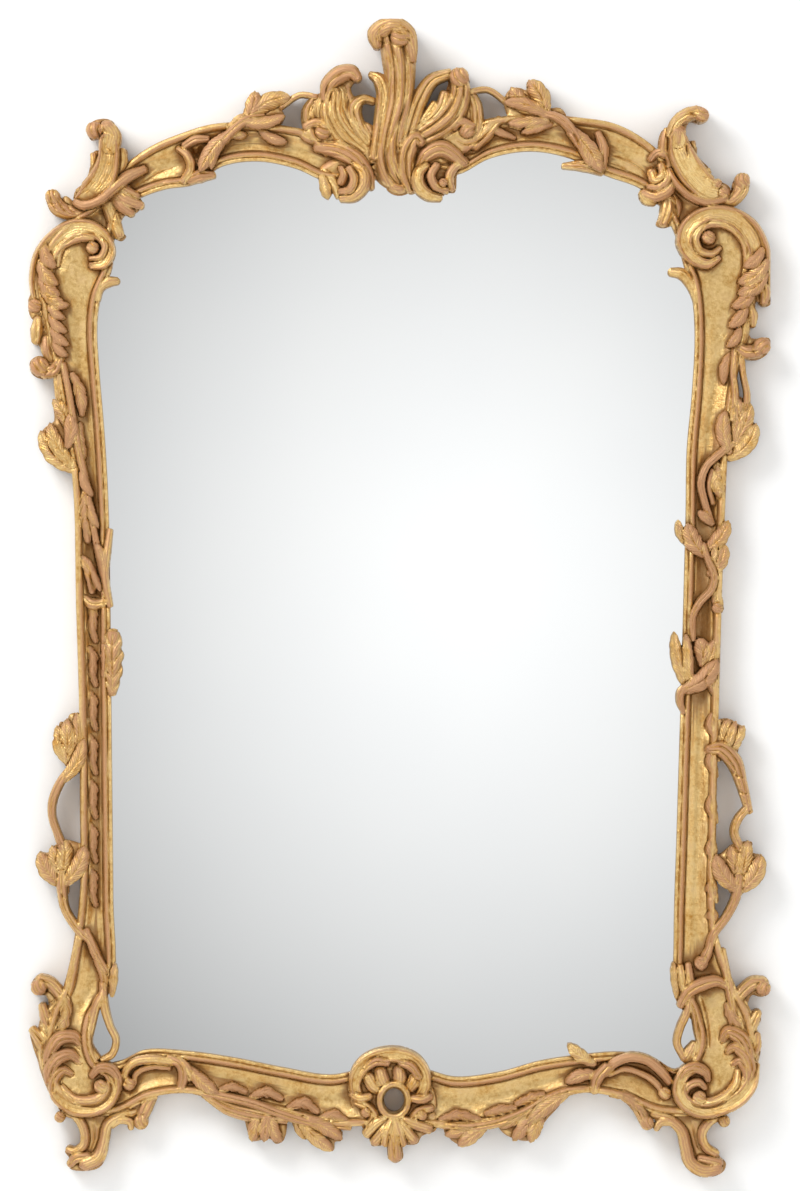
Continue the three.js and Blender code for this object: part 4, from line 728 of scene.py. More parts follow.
# %% The left rail
ground("53 400, 58 399, 66 412, 76 425, 84 455, 78 470, 70 466, 55 455, 44 443, 41 433, 48 425, 54 421",
       22, FREE)
ground("54 736, 58 729, 60 722, 66 722, 70 714, 79 714, 82 735, 76 752, 62 755", 22, FREE)
ground("40 852, 47 853, 55 845, 66 840, 78 843, 87 846, 84 860, 70 880, 68 895, 58 895, 55 882, 46 868",
       22, FREE)
ridge("56 366 26 3.5, 57 385 28 3, 61 412 28 3.5, 68 428 29 4", FREE, 2, 0.5, 0.6)
ridge("63 364 28 3.5, 69 392 31 3.5, 74 425 32 4, 80 456 31 4, 86 482 29 3.4, 90 505 26 3", MID, 2, 0.6, 0.7)
leaf("70 432, 53 400", 8, 30, FREE, 0.1, 0.3)
leaf("76 470, 41 431", 10, 30, FREE, -0.12, 0.15)
leaf("74 466, 50 423", 8, 31, FREE, -0.1, 0.4)
leaf("68 446, 69 415", 7.5, 34, MID, 0.1)
acanthus("72 374 26 3, 77 384 28 5.5, 81 398 28 7, 82 415 26 3", OVER, 3, 0.9, 0.25, 1, 0.9, 0.5)
leaf("80 424, 85 458", 6, 27, bend=0.1)
# the knot of buds on the rail
ridge("83 478 27 3, 90 505 30 3.2, 95 535 29 3.4, 101 565 28 4, 108 600 25 3", OVER, 2, 0.7, 0.8)
acanthus("85 490 26 3, 85 505 29 6, 86 522 29 6.5, 88 542 26 3", OVER, 4, 1.2, 0.3, 1.6)
leaf("82 470, 93 496", 5, 31, bend=0.1)
leaf("91 502, 99 528", 4.5, 31, bend=0.1)
leaf("92 592, 82 556", 6.5, 29, OVER, 0.1, 1)
leaf("103 572, 96 544", 5.5, 31, OVER, 0.1, 1)
leaf("100 590, 92 570", 4, 30, leafy=1)
ridge("110 530 26 3, 107 552 29 4, 105 575 29 4, 110 606 26 3", leafy=0.3)
cuts("94 548, 97 565, 100 585; 90 575, 95 590, 104 598", 3, 6)
ridge("84 597 23 3, 92 604 26 7, 106 602 25 4", OVER, 2, 0.5, 0.6)
# the big leaf that lies over the sight edge
acanthus("112 694 26 4, 113 676 29 9, 112 655 30 12, 113 634 28 8", OVER, 4, 1.1, 0.25, 1.2, 0.45, 1)
ridge("104 676 26 3, 106 660 29 5, 104 645 27 3", OVER, 2, 1, 0.8)
# the leaflets in the hollow of the rail
for top in range(604, 869, 44):
    acanthus([[89, top, 20, 3], [93, top + 10, 22.5, 5.5], [92, top + 24, 22.5, 5], [96, top + 38, 20, 2.5]],
             OVER, 3, 1.3, 0.3, 1.3, 0.8, 0.2)
    cut([[89, top + 6], [88, top + 20], [93, top + 34]], 1.8, 3)
# the lower vine
leaf("68 762, 57 726", 8, 26, FREE, 0, 0.6)
leaf("70 762, 77 713", 8, 27, FREE, 0.1, 0.4)
leaf("68 764, 67 719", 8, 28, FREE, 0, 0.5)
leaf("66 762, 54 739", 6, 27, FREE, 0, 0.6)
leaf("61 782, 84 739", 7.5, 31, FREE, 0.1, 0.7)
ridge("70 768 26 3.5, 60 783 30 4.5, 53 800 30 4.5, 52 815 29 4, 57 832 28 4, 64 850 28 5", FREE, 2, 0.7, 0.7)
leaf("60 884, 40 852", 9, 30, FREE, -0.1, 0.7)
leaf("62 880, 52 846", 8, 28, FREE, 0, 0.4)
leaf("63 880, 66 840", 9, 29, FREE, 0, 0.3)
leaf("64 884, 85 846", 9, 32, FREE, 0.1, 0.8)
ridge("62 872 28 4, 62 886 30 5.5, 65 908 29 4.5, 77 928 29 4.5, 92 944 28 4, 99 960 25 3", FREE, 2, 0.8, 0.8)
cut("58 888, 63 896, 69 903", 1.4, 3)
print("the left rail", round(surface.max(), 1))

# %% [markdown]
# ## The right rail
# The same plant, freely repeated, with a ribbon twisted round it lower down. Its leaflets lie on the outer edge,
# each with a cut beside it.

# %% The right rail
ground("721 412, 728 400, 738 396, 748 403, 748 418, 756 425, 752 438, 742 450, 728 457, 721 445", 23, FREE)
ground("719 720, 730 719, 738 724, 744 727, 740 745, 735 757, 724 760, 712 762, 706 752, 716 745", 22, FREE)
ground("715 857, 722 853, 730 846, 737 843, 752 842, 752 852, 762 856, 758 870, 746 882, 742 895, 732 895, "
       "724 880", 23, FREE)
leaf("731 354, 724 384", 5.5, 28, OVER, 0.1, 1)
ridge("735 350 28 3.5, 733 372 30 3.5, 735 395 31 4, 732 420 30 4", FREE, 2, 0.6, 0.7)
ridge("741 352 28 3.5, 743 374 29 3, 747 396 29 3.5, 744 415 30 4", FREE, 2, 0.6, 0.7)
leaf("733 444, 735 396", 8, 31, FREE, 0.1, 0.3)
leaf("732 448, 750 404", 9, 31, FREE, 0.05, 0.5)
leaf("730 458, 756 424", 9, 31, FREE, 0.12, 0.6)
leaf("729 452, 725 411", 8, 33, bend=-0.1)
acanthus("716 462 25 3, 719 474 28 7, 718 488 27 7, 722 502 24 3", OVER, 4, 1.2, 0.3, 1.4, 0.7, 0.4)
ridge("732 444 29 4, 718 455 32 4, 706 467 32 3.8, 701 483 32 4, 704 500 31 3.8, 712 524 27 3",
      MID, 3, 0.7, 0.8)
ridge("712 470 27 2.5, 709 486 28 3, 713 504 26 2.5", leafy=0.4)
leaf("712 524, 698 511", 5, 31, leafy=1)
leaf("688 545, 678 520", 5, 29, OVER, -0.1, 0.5)
leaf("703 554, 688 524", 9.5, 32, OVER, -0.1, 1)
leaf("706 550, 728 521", 8.5, 30, OVER, 0.1, 1)
leaf("710 574, 725 545", 8, 29, OVER, 0.1, 1)
leaf("712 566, 716 545", 4, 29, leafy=0.5)
ridge("703 544 29 3, 708 560 31 3.5, 714 576 31 4, 711 590 31 4, 700 602 31 4, 693 616 30 3.5, 693 640 27 3",
      MID, 2, 0.8, 0.8)
leaf("717 586, 722 612", 6, 28, OVER, 0.1, 0.6)
leaf("716 472, 723 498", 6.5, 29, OVER, 0.1, 0.5)
knob("717 608", 5.5, 30, OVER, 0.5, 0.9)
leaf("688 690, 674 632", 7, 30, OVER, -0.05, 0.1)
leaf("690 688, 686 634", 6, 31, leafy=0.3)
leaf("702 664, 698 638", 9, 29, OVER, 0.1, 1)
leaf("704 666, 714 640", 8, 28, bend=0.1)
leaf("683 690, 717 660", 10, 33, OVER, 0.12, 1)
ridge("690 684 29 4, 681 692 30 4.5, 680 702 28 4, 684 713 25 2.5", OVER, 2, 0.9, 0.7)
# the leaflets on the outer edge of the rail
for down, tall in ((666, 30), (712, 26), (748, 28), (792, 30), (836, 28), (877, 24), (908, 16)):
    leaf([[716, down + tall], [713, down]], 6, 27.5, bend=-0.1)
    cut([[710, down + 1], [705, down + tall / 2], [712, down + tall]], 1.6, 3)
# the lower vine
leaf("722 757, 728 719", 7.5, 28, FREE, 0, 0.3)
leaf("725 757, 744 726", 7.5, 28, FREE, 0, 0.3)
leaf("723 757, 736 721", 5, 30, FREE, 0, 0.3)
ridge("708 749 28 4, 721 749 33 8, 734 762 33 8.5, 741 782 31 6, 749 812 28 4", FREE, 3, 0.9, 0.9)
cuts("727 768, 737 776, 745 778; 734 786, 742 793, 750 793", 1.8, 3.4)
ridge("749 806 28 4, 738 819 30 4.5, 734 832 30 4.5, 741 850 28 4.5", FREE, 2, 0.5, 0.7)
leaf("739 886, 731 846", 8, 28, FREE, 0, 0.4)
leaf("740 886, 748 841", 9, 29, FREE, 0, 0.3)
leaf("740 890, 761 855", 9.5, 31, FREE, 0.12, 0.6)
leaf("738 890, 716 855", 9, 33, FREE, -0.12, 1)
ridge("739 876 29 5, 736 896 30 5, 726 917 29 4.5, 713 935 29 4.5, 708 955 28 4", FREE, 2, 0.8, 0.7)
print("the right rail", round(surface.max(), 1))

# %% [markdown]
# ## The bottom left corner
# A C-scroll carries the corner, a lobed leaf runs up outside it, and a foot curls out below. Foot and leaf go
# back to the wall, and the horn at the top of the leaf stands free.

# %% The bottom left corner
ground("31 985, 36 977, 46 976, 54 982, 62 990, 68 985, 70 1040, 62 1090, 52 1096, 44 1082, 38 1062, 32 1044, "
       "30 1030, 37 1028, 42 1032, 39 1015, 40 1004, 48 1006, 46 996, 38 995", 22)
ground("48 1085, 60 1105, 80 1116, 105 1114, 122 1100, 122 1078, 105 1062, 85 1050, 68 1050, 56 1060", 21)
# the foot
ground("58 1108, 66 1114, 78 1119, 83 1130, 85 1143, 76 1147, 68 1146, 65 1152, 69 1158, 68 1166, 72 1170, "
       "94 1170, 102 1165, 108 1150, 108 1130, 114 1122, 124 1119, 140 1106, 120 1085, 80 1085", 21)
ridge("64 1112 26 4, 76 1116 28 4.5, 84 1130 28 4.5, 84 1144 28 4.5, 76 1151 28 4.5, 68 1149 26 3.5", WALL)
ridge("136 1112 24 4, 120 1116 27 5, 108 1124 28 5, 104 1142 29 5, 98 1157 31 7, 84 1164 31 7", WALL, 1, 0.3)
ridge("70 1164 26 4, 76 1158 29 5.5, 88 1156 29 5", WALL, 2, 0.8, 0.6)
cuts("92 1122, 95 1138, 90 1152; 100 1126, 98 1142, 92 1156", 2.2, 3)
knob("60 1117", 5.5, 28, FREE)
ridge("152 1096 24 6, 146 1108 27 7, 141 1120 28 6", WALL, 2, 0.4, 0.6)
ground("112 1100, 120 1118, 126 1122, 135 1120, 141 1124, 152 1096", 21)
knob("141 1122", 7.5, 29, FREE, 1.2)
ridge("112 1126 25 3, 120 1120 27 4, 130 1122 27 4, 131 1128 25 3", FREE, 1, 0.4)
# the flutes at the foot of the rail
ridge("80 936 27 3.5, 75 960 29 4.5, 70 985 29 5, 66 1000 25 3", MID, 2, 0.4, 0.7)
ridge("86 930 27 3.5, 95 952 29 5, 106 972 28 4", OVER, 3, 0.8, 0.8)
ridge("96 960 26 3, 104 978 28 4.5, 103 992 27 3", OVER, 2, 0.8, 0.8)
leaf("112 996, 115 963", 4.5, 27, leafy=0.2)
# the horn and the lobed leaf
ridge("68 1006 24 5, 60 994 29 6, 50 983 32 6.5, 40 980 34 6.5", FREE, 2, 0.4, 0.6)
knob("39 987", 8, 36, FREE, 1.1)
cut("45 984, 47 990, 42 996", depth=3.6)
ridge("64 1000 25 7, 54 1016 28 12, 49 1040 29 13, 50 1066 29 11, 57 1094 28 7", WALL, 2, 0.2, 0.5)
ridge("54 1034 27 5, 46 1018 29 6, 42 1005 27 4", FREE, 2, 0.2, 0.7)
ridge("50 1058 27 6, 42 1042 29 8, 32 1029 27 4", FREE, 2, 0.2, 0.7)
cuts("58 1002, 50 1014, 48 1028; 66 1000, 58 1018, 52 1036; 50 1036, 44 1046, 42 1060", 2, 3.4)
acanthus("62 990 26 3, 66 1004 29 6, 64 1022 30 6, 58 1036 28 4", WALL, 4, 1.3, 0.35, 1.6, 0.3, 0.2)
ridge("84 1048 25 3.5, 74 1037 31 6.5, 60 1038 34 7.5, 50 1052 33 6, 47 1064 29 4", WALL, 3, 1, 0.8)
ridge("80 1062 25 3.5, 70 1054 31 6, 58 1058 34 7, 50 1070 33 6.5, 49 1082 29 4", WALL, 3, 1, 0.8)
ridge("72 1074 25 3, 63 1070 30 5, 55 1078 32 6, 53 1092 29 4.5", WALL, 2, 1, 0.8)
# the C-scroll
band("52 1080 27 5, 58 1096 31 7, 74 1107 34 8.5, 93 1108 35 8.5, 108 1100 35 8, 114 1086 34 7.5, "
     "110 1073 33 6.5, 98 1068 31 4.5", [WALL, OVER], 0.1, 0.3, 0.42)
ridge("62 1086 28 3, 73 1098 33 4.5, 90 1100 35 5, 103 1094 35 4.5, 107 1084 34 4")
ridge("92 1076 29 3.5, 99 1068 34 5, 110 1068 35 5.5, 118 1077 33 4.5, 119 1090 29 3", OVER, 3, 1, 0.8)
cut("66 1092, 80 1104, 98 1105, 109 1096, 111 1084, 104 1077", 1.8, 3.6)
knob("101 1086", 7, 37, leafy=0.4)
# the loop over the glass
ridge("103 984 28 4, 104 1004 31 4.5, 110 1026 30 3.5, 116 1040 29 3.5, 112 1054 29 4, 102 1060 27 3.5")
ridge("104 992 29 4, 97 1004 31 4.5, 92 1024 29 4, 89 1044 28 4, 97 1058 28 4")
cut("95 994, 88 1014, 84 1036, 86 1054", 1.6, 3)
# the panel beside the scroll
ridge("129 1084 27 3.5, 125 1074 29 4, 133 1063 31 4.5, 150 1059 31 5, 174 1062 28 4")
ridge("134 1084 25 2.5, 136 1074 27 3, 150 1067 27 3, 170 1068 25 2.5")
knob("129 1084", 6.5, 30, leafy=0.2)
ridge("168 1058 27 4, 180 1064 31 5, 184 1076 31 5.5, 180 1090 27 4", OVER, 2, 0.9, 0.7)
ridge("178 1058 27 3, 188 1068 31 4, 190 1080 27 3", leafy=0.5)
leaf("189 1068, 218 1093", 7.5, 31, OVER, 0.05, 0.8)
print("the bottom left corner", round(surface.max(), 1))

# %% [markdown]
# ## The bottom right corner
# The right foot steps outwards, and the loop of ribbon leaves a small hole beside the glass. The two sides of
# the loop are separate ridges, so that the hole stays open between them.

# %% The bottom right corner
ground("728 1000, 740 990, 750 981, 762 979, 770 985, 769 994, 760 997, 752 995, 748 1010, 760 1011, 761 1020, "
       "757 1030, 761 1045, 758 1065, 752 1085, 740 1070, 735 1030", 22)
ground("757 1060, 748 1094, 730 1112, 705 1119, 685 1113, 673 1098, 673 1078, 688 1062, 706 1050, 735 1050", 21)
# the foot
ground("652 1110, 676 1124, 681 1146, 684 1160, 692 1171, 706 1177, 716 1176, 724 1171, 726 1163, 720 1157, "
       "718 1150, 710 1149, 703 1142, 704 1126, 720 1106, 700 1090, 670 1090", 21)
ridge("652 1114 24 4, 668 1119 27 5, 681 1130 29 5.5, 686 1148 30 6, 690 1162 31 6.5, 703 1170 32 7, "
      "718 1168 32 6", WALL, 1, 0.4)
ridge("720 1116 26 4, 709 1122 28 4.5, 702 1134 28 4.5, 706 1147 29 4.5, 716 1154 29 4.5", WALL)
ridge("699 1158 28 3.5, 709 1160 31 4.5, 720 1163 30 4.5", WALL, 2, 0.9, 0.6)
cuts("693 1122, 695 1138, 700 1152; 688 1128, 692 1146, 698 1162", 2.2, 3)
knob("724 1121", 6, 29, FREE, 1.2)
ridge("622 1094 25 5, 636 1104 27 7, 645 1121 28 6", WALL, 3, 0.8, 0.8)
ground("630 1096, 646 1124, 652 1118, 660 1124, 668 1118, 672 1104", 21)
knob("647 1123", 7, 29, FREE, 1.2)
ridge("656 1129 25 3, 661 1122 27 4.5, 672 1122 27 4", FREE, 1, 0.5)
# the flutes at the foot of the rail
ridge("722 950 27 4, 726 972 29 4.5, 731 998 29 4.5, 736 1024 26 3.5", MID, 2, 0.3, 0.7)
ridge("711 944 28 3.5, 706 956 30 5, 700 968 31 4", OVER, 2, 0.8, 0.7)
knob("701 963", 7, 31, OVER, 0.4, 1)
leaf("677 998, 673 962", 4.5, 28, leafy=0.1)
ridge("680 966 27 3.5, 683 984 30 4.5, 688 1000 30 4")
ridge("688 964 27 3.5, 690 982 30 4.5, 690 1000 30 4", leafy=0.4)
# the horn and the lobed leaf
ridge("732 1004 25 6, 742 992 30 6.5, 753 983 33 7, 763 983 34 7", FREE, 2, 0.4, 0.6)
knob("763 988", 7.5, 36, FREE, 1.9)
ridge("738 1000 25 7, 745 1024 28 11, 749 1046 29 11, 749 1066 29 9", WALL, 2, 0.2, 0.5)
ridge("748 1034 27 5, 753 1022 29 6.5, 758 1012 27 4", FREE, 2, 0.2, 0.7)
ridge("750 1056 27 5, 756 1046 29 5.5, 757 1034 27 3.5", FREE, 2, 0.3, 0.7)
acanthus("727 1004 25 3, 731 1014 28 6.5, 738 1026 28 6.5, 744 1034 26 4", WALL, 3, 1.2, 0.3, 1.4, 0.9, 0.4)
ridge("722 1040 26 3.5, 728 1032 32 6.5, 741 1038 34 8, 748 1052 33 6.5, 750 1064 30 4", WALL, 3, 1, 0.8)
ridge("727 1052 26 3, 734 1047 31 5.5, 744 1053 34 7, 750 1068 33 6, 748 1080 30 4", WALL, 3, 1, 0.8)
ridge("733 1064 26 3, 739 1061 30 4.5, 746 1070 32 5.5, 746 1084 30 4", WALL, 2, 1, 0.8)
# the C-scroll
band("755 1064 27 5, 750 1084 32 7.5, 738 1098 35 8.5, 720 1107 36 8.5, 701 1110 36 8.5, 685 1102 35 8, "
     "679 1088 34 7.5, 684 1074 33 6.5, 696 1068 31 4.5", [WALL, OVER], 0.1, 0.3, 0.42)
ridge("738 1070 28 3, 735 1084 33 4.5, 724 1096 35 5, 709 1102 35 5, 696 1100 34 4")
ridge("679 1084 29 4, 683 1073 34 5.5, 694 1067 35 6, 705 1072 33 5, 708 1080 29 3", OVER, 3, 1, 0.8)
ridge("684 1096 30 3, 688 1086 34 4.5, 698 1082 34 4.5, 705 1088 31 3", OVER, 2, 0.7, 0.7)
cuts("736 1090, 724 1101, 708 1107, 694 1105, 687 1096; 691 1092, 699 1088, 706 1094", 1.8, 3.6)
knob("699 1097", 7, 37, leafy=0.3)
# the loop over the glass
ridge("690 998 31 3.5, 687 1012 31 4, 680 1028 29 4, 677 1043 28 4, 684 1058 28 4", leafy=0.9)
ridge("690 998 31 3.5, 695 1012 31 5, 699 1030 29 6, 701 1044 29 5.5, 695 1060 28 5", flutes=2)
ridge("685 1060 26 4, 690 1051 28 6, 694 1044 26 4")
cut("700 996, 706 1014, 709 1034, 709 1052", 1.6, 3)
ridge("680 1006 29 4, 688 992 34 6, 702 984 35 7, 717 981 33 5.5, 728 987 27 3.5", OVER, 2, 0.9, 0.6)
# the panel beside the scroll
ridge("604 1074 28 4, 614 1063 31 5, 630 1057 32 5, 647 1060 32 5, 660 1070 31 5, 670 1082 28 4", leafy=0.7)
ridge("609 1075 25 2.5, 624 1069 27 3, 640 1073 28 3, 654 1081 28 3.5, 663 1092 27 3")
knob("665 1093", 6.5, 30, leafy=0.1)
ridge("594 1092 27 4, 597 1078 32 6.5, 607 1066 31 5", OVER, 2, 1, 0.7)
acanthus("610 1094 25 3, 624 1096 28 5, 638 1106 28 5, 646 1116 26 3", MID, 4)
print("the bottom right corner", round(surface.max(), 1))

# %% [markdown]
# ## The bottom rail
# Two sprays of leaves hang from the bottom rail. They reach below the moulding, so they stand on boards of their
# own, and a row of small leaves lies above each stem.

# %% The bottom rail
ground("246 1112, 284 1112, 284 1140, 276 1144, 270 1139, 262 1140, 252 1141, 247 1130", 22, FREE)
ground("296 1116, 322 1120, 342 1132, 341 1141, 335 1142, 334 1150, 326 1148, 312 1138, 300 1136", 22, FREE)
ground("444 1130, 485 1124, 488 1128, 475 1140, 460 1145, 450 1139", 22, FREE)
ground("498 1122, 540 1105, 562 1096, 562 1102, 545 1122, 538 1138, 528 1141, 515 1139, 502 1132", 23, FREE)
# left of the cartouche
ridge("194 1090 26 4, 222 1096 30 5, 252 1103 31 5, 285 1115 31 5, 318 1124 30 4.5, 350 1127 26 3.5",
      MID, 2, 0.8, 0.8)
ridge("204 1094 26 4, 228 1108 29 7, 254 1115 30 8, 286 1119 28 5", FREE, 3, 0.7, 0.8)
leaf("258 1112, 252 1141", 7, 30, FREE, 0, 0.7)
leaf("268 1112, 264 1141", 7.5, 31, FREE, 0, 0.8)
leaf("270 1112, 281 1142", 7, 30, FREE, 0.1, 0.7)
leaf("294 1117, 306 1139", 6, 28, FREE, 0, 0.8)
leaf("300 1120, 333 1150", 8, 30, FREE, 0.05, 0.7)
leaf("304 1118, 342 1139", 7.5, 31, FREE, -0.05, 0.8)
acanthus("220 1090 25 3, 232 1087 28 5, 246 1092 26 3")
acanthus("250 1098 25 3, 266 1092 28 6, 282 1099 26 3")
acanthus("288 1108 25 3, 304 1103 28 6.5, 318 1112 26 3")
acanthus("320 1118 25 3, 334 1115 28 6, 348 1122 26 3")
# right of the cartouche
ridge("432 1123 26 3.5, 460 1127 30 4.5, 490 1124 31 5, 520 1114 31 5.5, 545 1100 30 5, 568 1091 29 4.5, "
      "592 1088 26 3.5", MID, 2, 0.8, 0.8)
leaf("486 1125, 445 1135", 7, 30, FREE, 0, 0.7)
leaf("484 1128, 458 1145", 7.5, 31, FREE, 0, 0.8)
leaf("540 1106, 499 1127", 7, 30, FREE, 0, 0.7)
leaf("540 1108, 513 1140", 8, 31, FREE, 0, 0.8)
leaf("542 1108, 530 1142", 7.5, 31, FREE, 0, 0.7)
leaf("566 1094, 527 1124", 8, 32, FREE, 0.05)
acanthus("440 1120 25 3, 458 1115 28 6, 480 1120 26 3", lobes=4)
acanthus("486 1114 25 3, 500 1110 28 6, 516 1108 26 3")
acanthus("516 1104 25 3, 532 1098 28 6, 544 1094 26 3")
leaf("596 1074, 566 1083", 7, 29, OVER, 0.1, 0.7)
leaf("594 1064, 568 1044", 7, 29, OVER, -0.05, 0.1)
print("the bottom rail", round(surface.max(), 1))

# %% [markdown]
# ## The pierced shell
# In the middle of the bottom rail is a shell with an eye cut right through it. Its ribs are short ridges that
# fan out over the eye, a hollowed band bends round them, and a fan of longer ridges hangs below.

# %% The pierced shell
EYE_ACROSS, EYE_DOWN, EYE_WIDE, EYE_TALL, EYE_RIM = 394, 1100, 10, 12, 4
ground("350 1094, 350 1075, 358 1062, 370 1054, 386 1049, 402 1049, 414 1053, 424 1064, 431 1078, 430 1092, "
       "426 1099", 24, OVER)
ground("364 1130, 369 1138, 372 1146, 386 1146, 388 1158, 395 1163, 403 1158, 403 1146, 417 1144, 422 1136, "
       "436 1130, 434 1112, 358 1112", 24, FREE)
ground("350 1094, 358 1118, 376 1136, 394 1148, 412 1138, 432 1124, 436 1100, 426 1080, 360 1080", 21)
band("360 1098 28 4, 355 1086 32 6, 358 1072 34 7.5, 368 1061 35 8, 384 1055 36 8, 400 1055 36 8, "
     "414 1061 35 8, 423 1073 34 7.5, 424 1087 32 6, 417 1098 28 4", hollow=0.35)
ridge("352 1094 28 4, 360 1098 33 5, 370 1096 32 4")
ridge("430 1096 28 4, 422 1099 33 5, 412 1098 32 4")
# the shell above the eye, with two pink leaves over it
ridge("386 1092 28 4, 374 1086 33 7, 368 1076 32 6", leafy=0.2)
ridge("390 1090 28 4, 383 1080 34 7, 380 1070 32 6")
ridge("398 1090 28 4, 400 1078 34 7, 399 1069 32 6")
ridge("402 1092 28 4, 412 1084 33 7, 415 1076 32 6", leafy=0.2)
ridge("366 1068 33 3.5, 376 1061 37 5, 388 1062 36 4", OVER, 2, 1, 0.8)
ridge("400 1062 34 3.5, 411 1066 37 5, 419 1077 34 4", OVER, 2, 1, 0.8)
# the rim of the eye and the scrolls beside it
ridge([(EYE_ACROSS + (EYE_WIDE + EYE_RIM) * math.cos(t), EYE_DOWN + (EYE_TALL + EYE_RIM) * math.sin(t), 33, 3.5)
       for t in np.linspace(0, 2 * math.pi, 11)], WALL)
ridge("356 1102 28 3.5, 366 1106 32 5, 374 1116 32 5.5, 368 1126 28 4", OVER, 2, 0.2, 0.6)
ridge("432 1108 28 3.5, 422 1110 32 5, 414 1118 32 5.5, 420 1128 28 4", OVER, 2, 0.2, 0.6)
knob("366 1112", 5, 34, leafy=0.3)
knob("422 1115", 5, 34, leafy=0.3)
# the fan and the drop below it
ridge("392 1116 30 3, 378 1122 33 5.5, 366 1134 30 5", FREE)
ridge("394 1116 30 3, 384 1130 34 5.5, 374 1142 30 5", FREE)
ridge("396 1116 30 3, 410 1122 33 5.5, 430 1129 30 5", FREE)
ridge("395 1116 30 3, 406 1130 34 5.5, 414 1140 30 5", FREE)
ridge("394 1114 31 3, 387 1132 35 5, 385 1144 31 4", FREE)
ridge("394 1114 31 3, 399 1132 35 5, 403 1144 31 4", FREE)
ridge("394 1122 32 3, 394 1140 35 5.5, 395 1157 32 7", FREE, 1, 0.5)
cut("394 1142, 394 1150, 395 1160", 1.8, 3)
print("the pierced shell", round(surface.max(), 1))

# %% [markdown]
# ## From the maps to one closed mesh
# The rebate behind the sight edge, the eye of the shell and the two pockets for the hanging plates are cut last.
# Then each cell of the map that lies on wood becomes one face in front and one behind, the rim of the map is
# moved on to the true outline, and walls close the sides. A voxel remesh could join the forms too, but it
# would blur the veins of the leaves.

# %% Last cuts
REBATE_HEIGHT, REBATE_WIDTH = 14.0, 8.0
HANGER_ACROSS, HANGER_DOWN, HANGER_SIZE, POCKET = (66, 730), 276, (23, 51), 6.0
EYE_CHAMFER = 3
THINNEST, HIGHEST_UNDERSIDE = 3, 40

turns = np.linspace(0, 2 * math.pi, 24, endpoint=False)
eye_outline = np.column_stack([EYE_ACROSS + EYE_WIDE * np.cos(turns), EYE_DOWN + EYE_TALL * np.sin(turns)])
win, reach = outline_reach(eye_outline, 6)
surface[win] -= np.clip(EYE_CHAMFER - np.abs(reach), 0, EYE_CHAMFER) * (reach < 0)
inside[win] = np.minimum(inside[win], -reach)

width = np.linalg.norm(outer_edge - sight_edge, axis=1)[:, None]
recesses = [(sight_edge + (outer_edge - sight_edge) * REBATE_WIDTH / width, REBATE_HEIGHT)]
for across in HANGER_ACROSS:
    wide, tall = HANGER_SIZE
    corners = np.array([[-1, -1], [1, -1], [1, 1], [-1, 1]]) * (wide / 2, tall / 2) + (across, HANGER_DOWN)
    recesses.append((corners, POCKET))
for outline, height in recesses:
    win, reach = outline_reach(outline, 0)
    under[win] = np.where(reach > 0, np.maximum(under[win], height), under[win])
surface[:] = np.maximum(surface, np.minimum(under, HIGHEST_UNDERSIDE) + THINNEST)
print("recesses cut", len(recesses))

# %% [markdown]
# Wax gathers in hollows and dusting reaches only the high places, and the hollows are also painted darker as
# shade. A place lies in a hollow when the carving round it is higher on average, and the average is a box blur
# taken three times over, which comes close to a round one.

# %% The hollows and the high places
NARROW, WIDE = 1.8, 5.0
NARROW_DEPTH, WIDE_DEPTH = 1.5, 6.0


def slide(field, cells, axis):
    pad = [(cells + 1, cells) if axis == k else (0, 0) for k in (0, 1)]
    summed = np.cumsum(np.pad(field, pad), axis=axis)
    n = field.shape[axis]
    return np.take(summed, range(2 * cells + 1, 2 * cells + 1 + n), axis) - np.take(summed, range(n), axis)


def blur(values, reach_mm):
    cells = max(1, int(reach_mm / CELL))
    weight = (inside > 0).astype(float)
    total = values * weight
    for _ in range(3):
        for axis in (0, 1):
            total, weight = slide(total, cells, axis), slide(weight, cells, axis)
    return total / np.maximum(weight, 1e-6)


hollow = np.clip((blur(surface, NARROW) - surface) / NARROW_DEPTH, -1, 1)
deep = np.clip((blur(surface, WIDE) - surface) / WIDE_DEPTH, -1, 1)
print("hollows", round(float((hollow[inside > 0] > 0.3).mean()), 3))

# %% [markdown]
# The mesh is laid out cell by cell. The corners at the rim are pushed along the slope of the inside map until they
# stand on the outline, by no more than three quarters of a cell, so the edge is smooth and not a flight of steps.

# %% The mesh
FARTHEST = 0.75 * CELL
ALMOST_WOOD = -0.6 * CELL
LEAST_SLOPE = 0.3

node = inside > ALMOST_WOOD
cell = node[:-1, :-1] & node[1:, :-1] & node[:-1, 1:] & node[1:, 1:]
used = np.zeros(shape, int)
for r, c in ((0, 0), (1, 0), (0, 1), (1, 1)):
    used[r:shape[0] - 1 + r, c:shape[1] - 1 + c] += cell
slope_down, slope_across = np.gradient(inside, CELL)
steep = np.maximum(np.hypot(slope_down, slope_across), LEAST_SLOPE)
shift = np.where((used > 0) & (used < 4), np.clip(-inside / steep, -FARTHEST, FARTHEST), 0)
grid_across, grid_down = np.meshgrid(across_of, down_of)
place_across = grid_across + shift * slope_across / steep
place_down = grid_down + shift * slope_down / steep

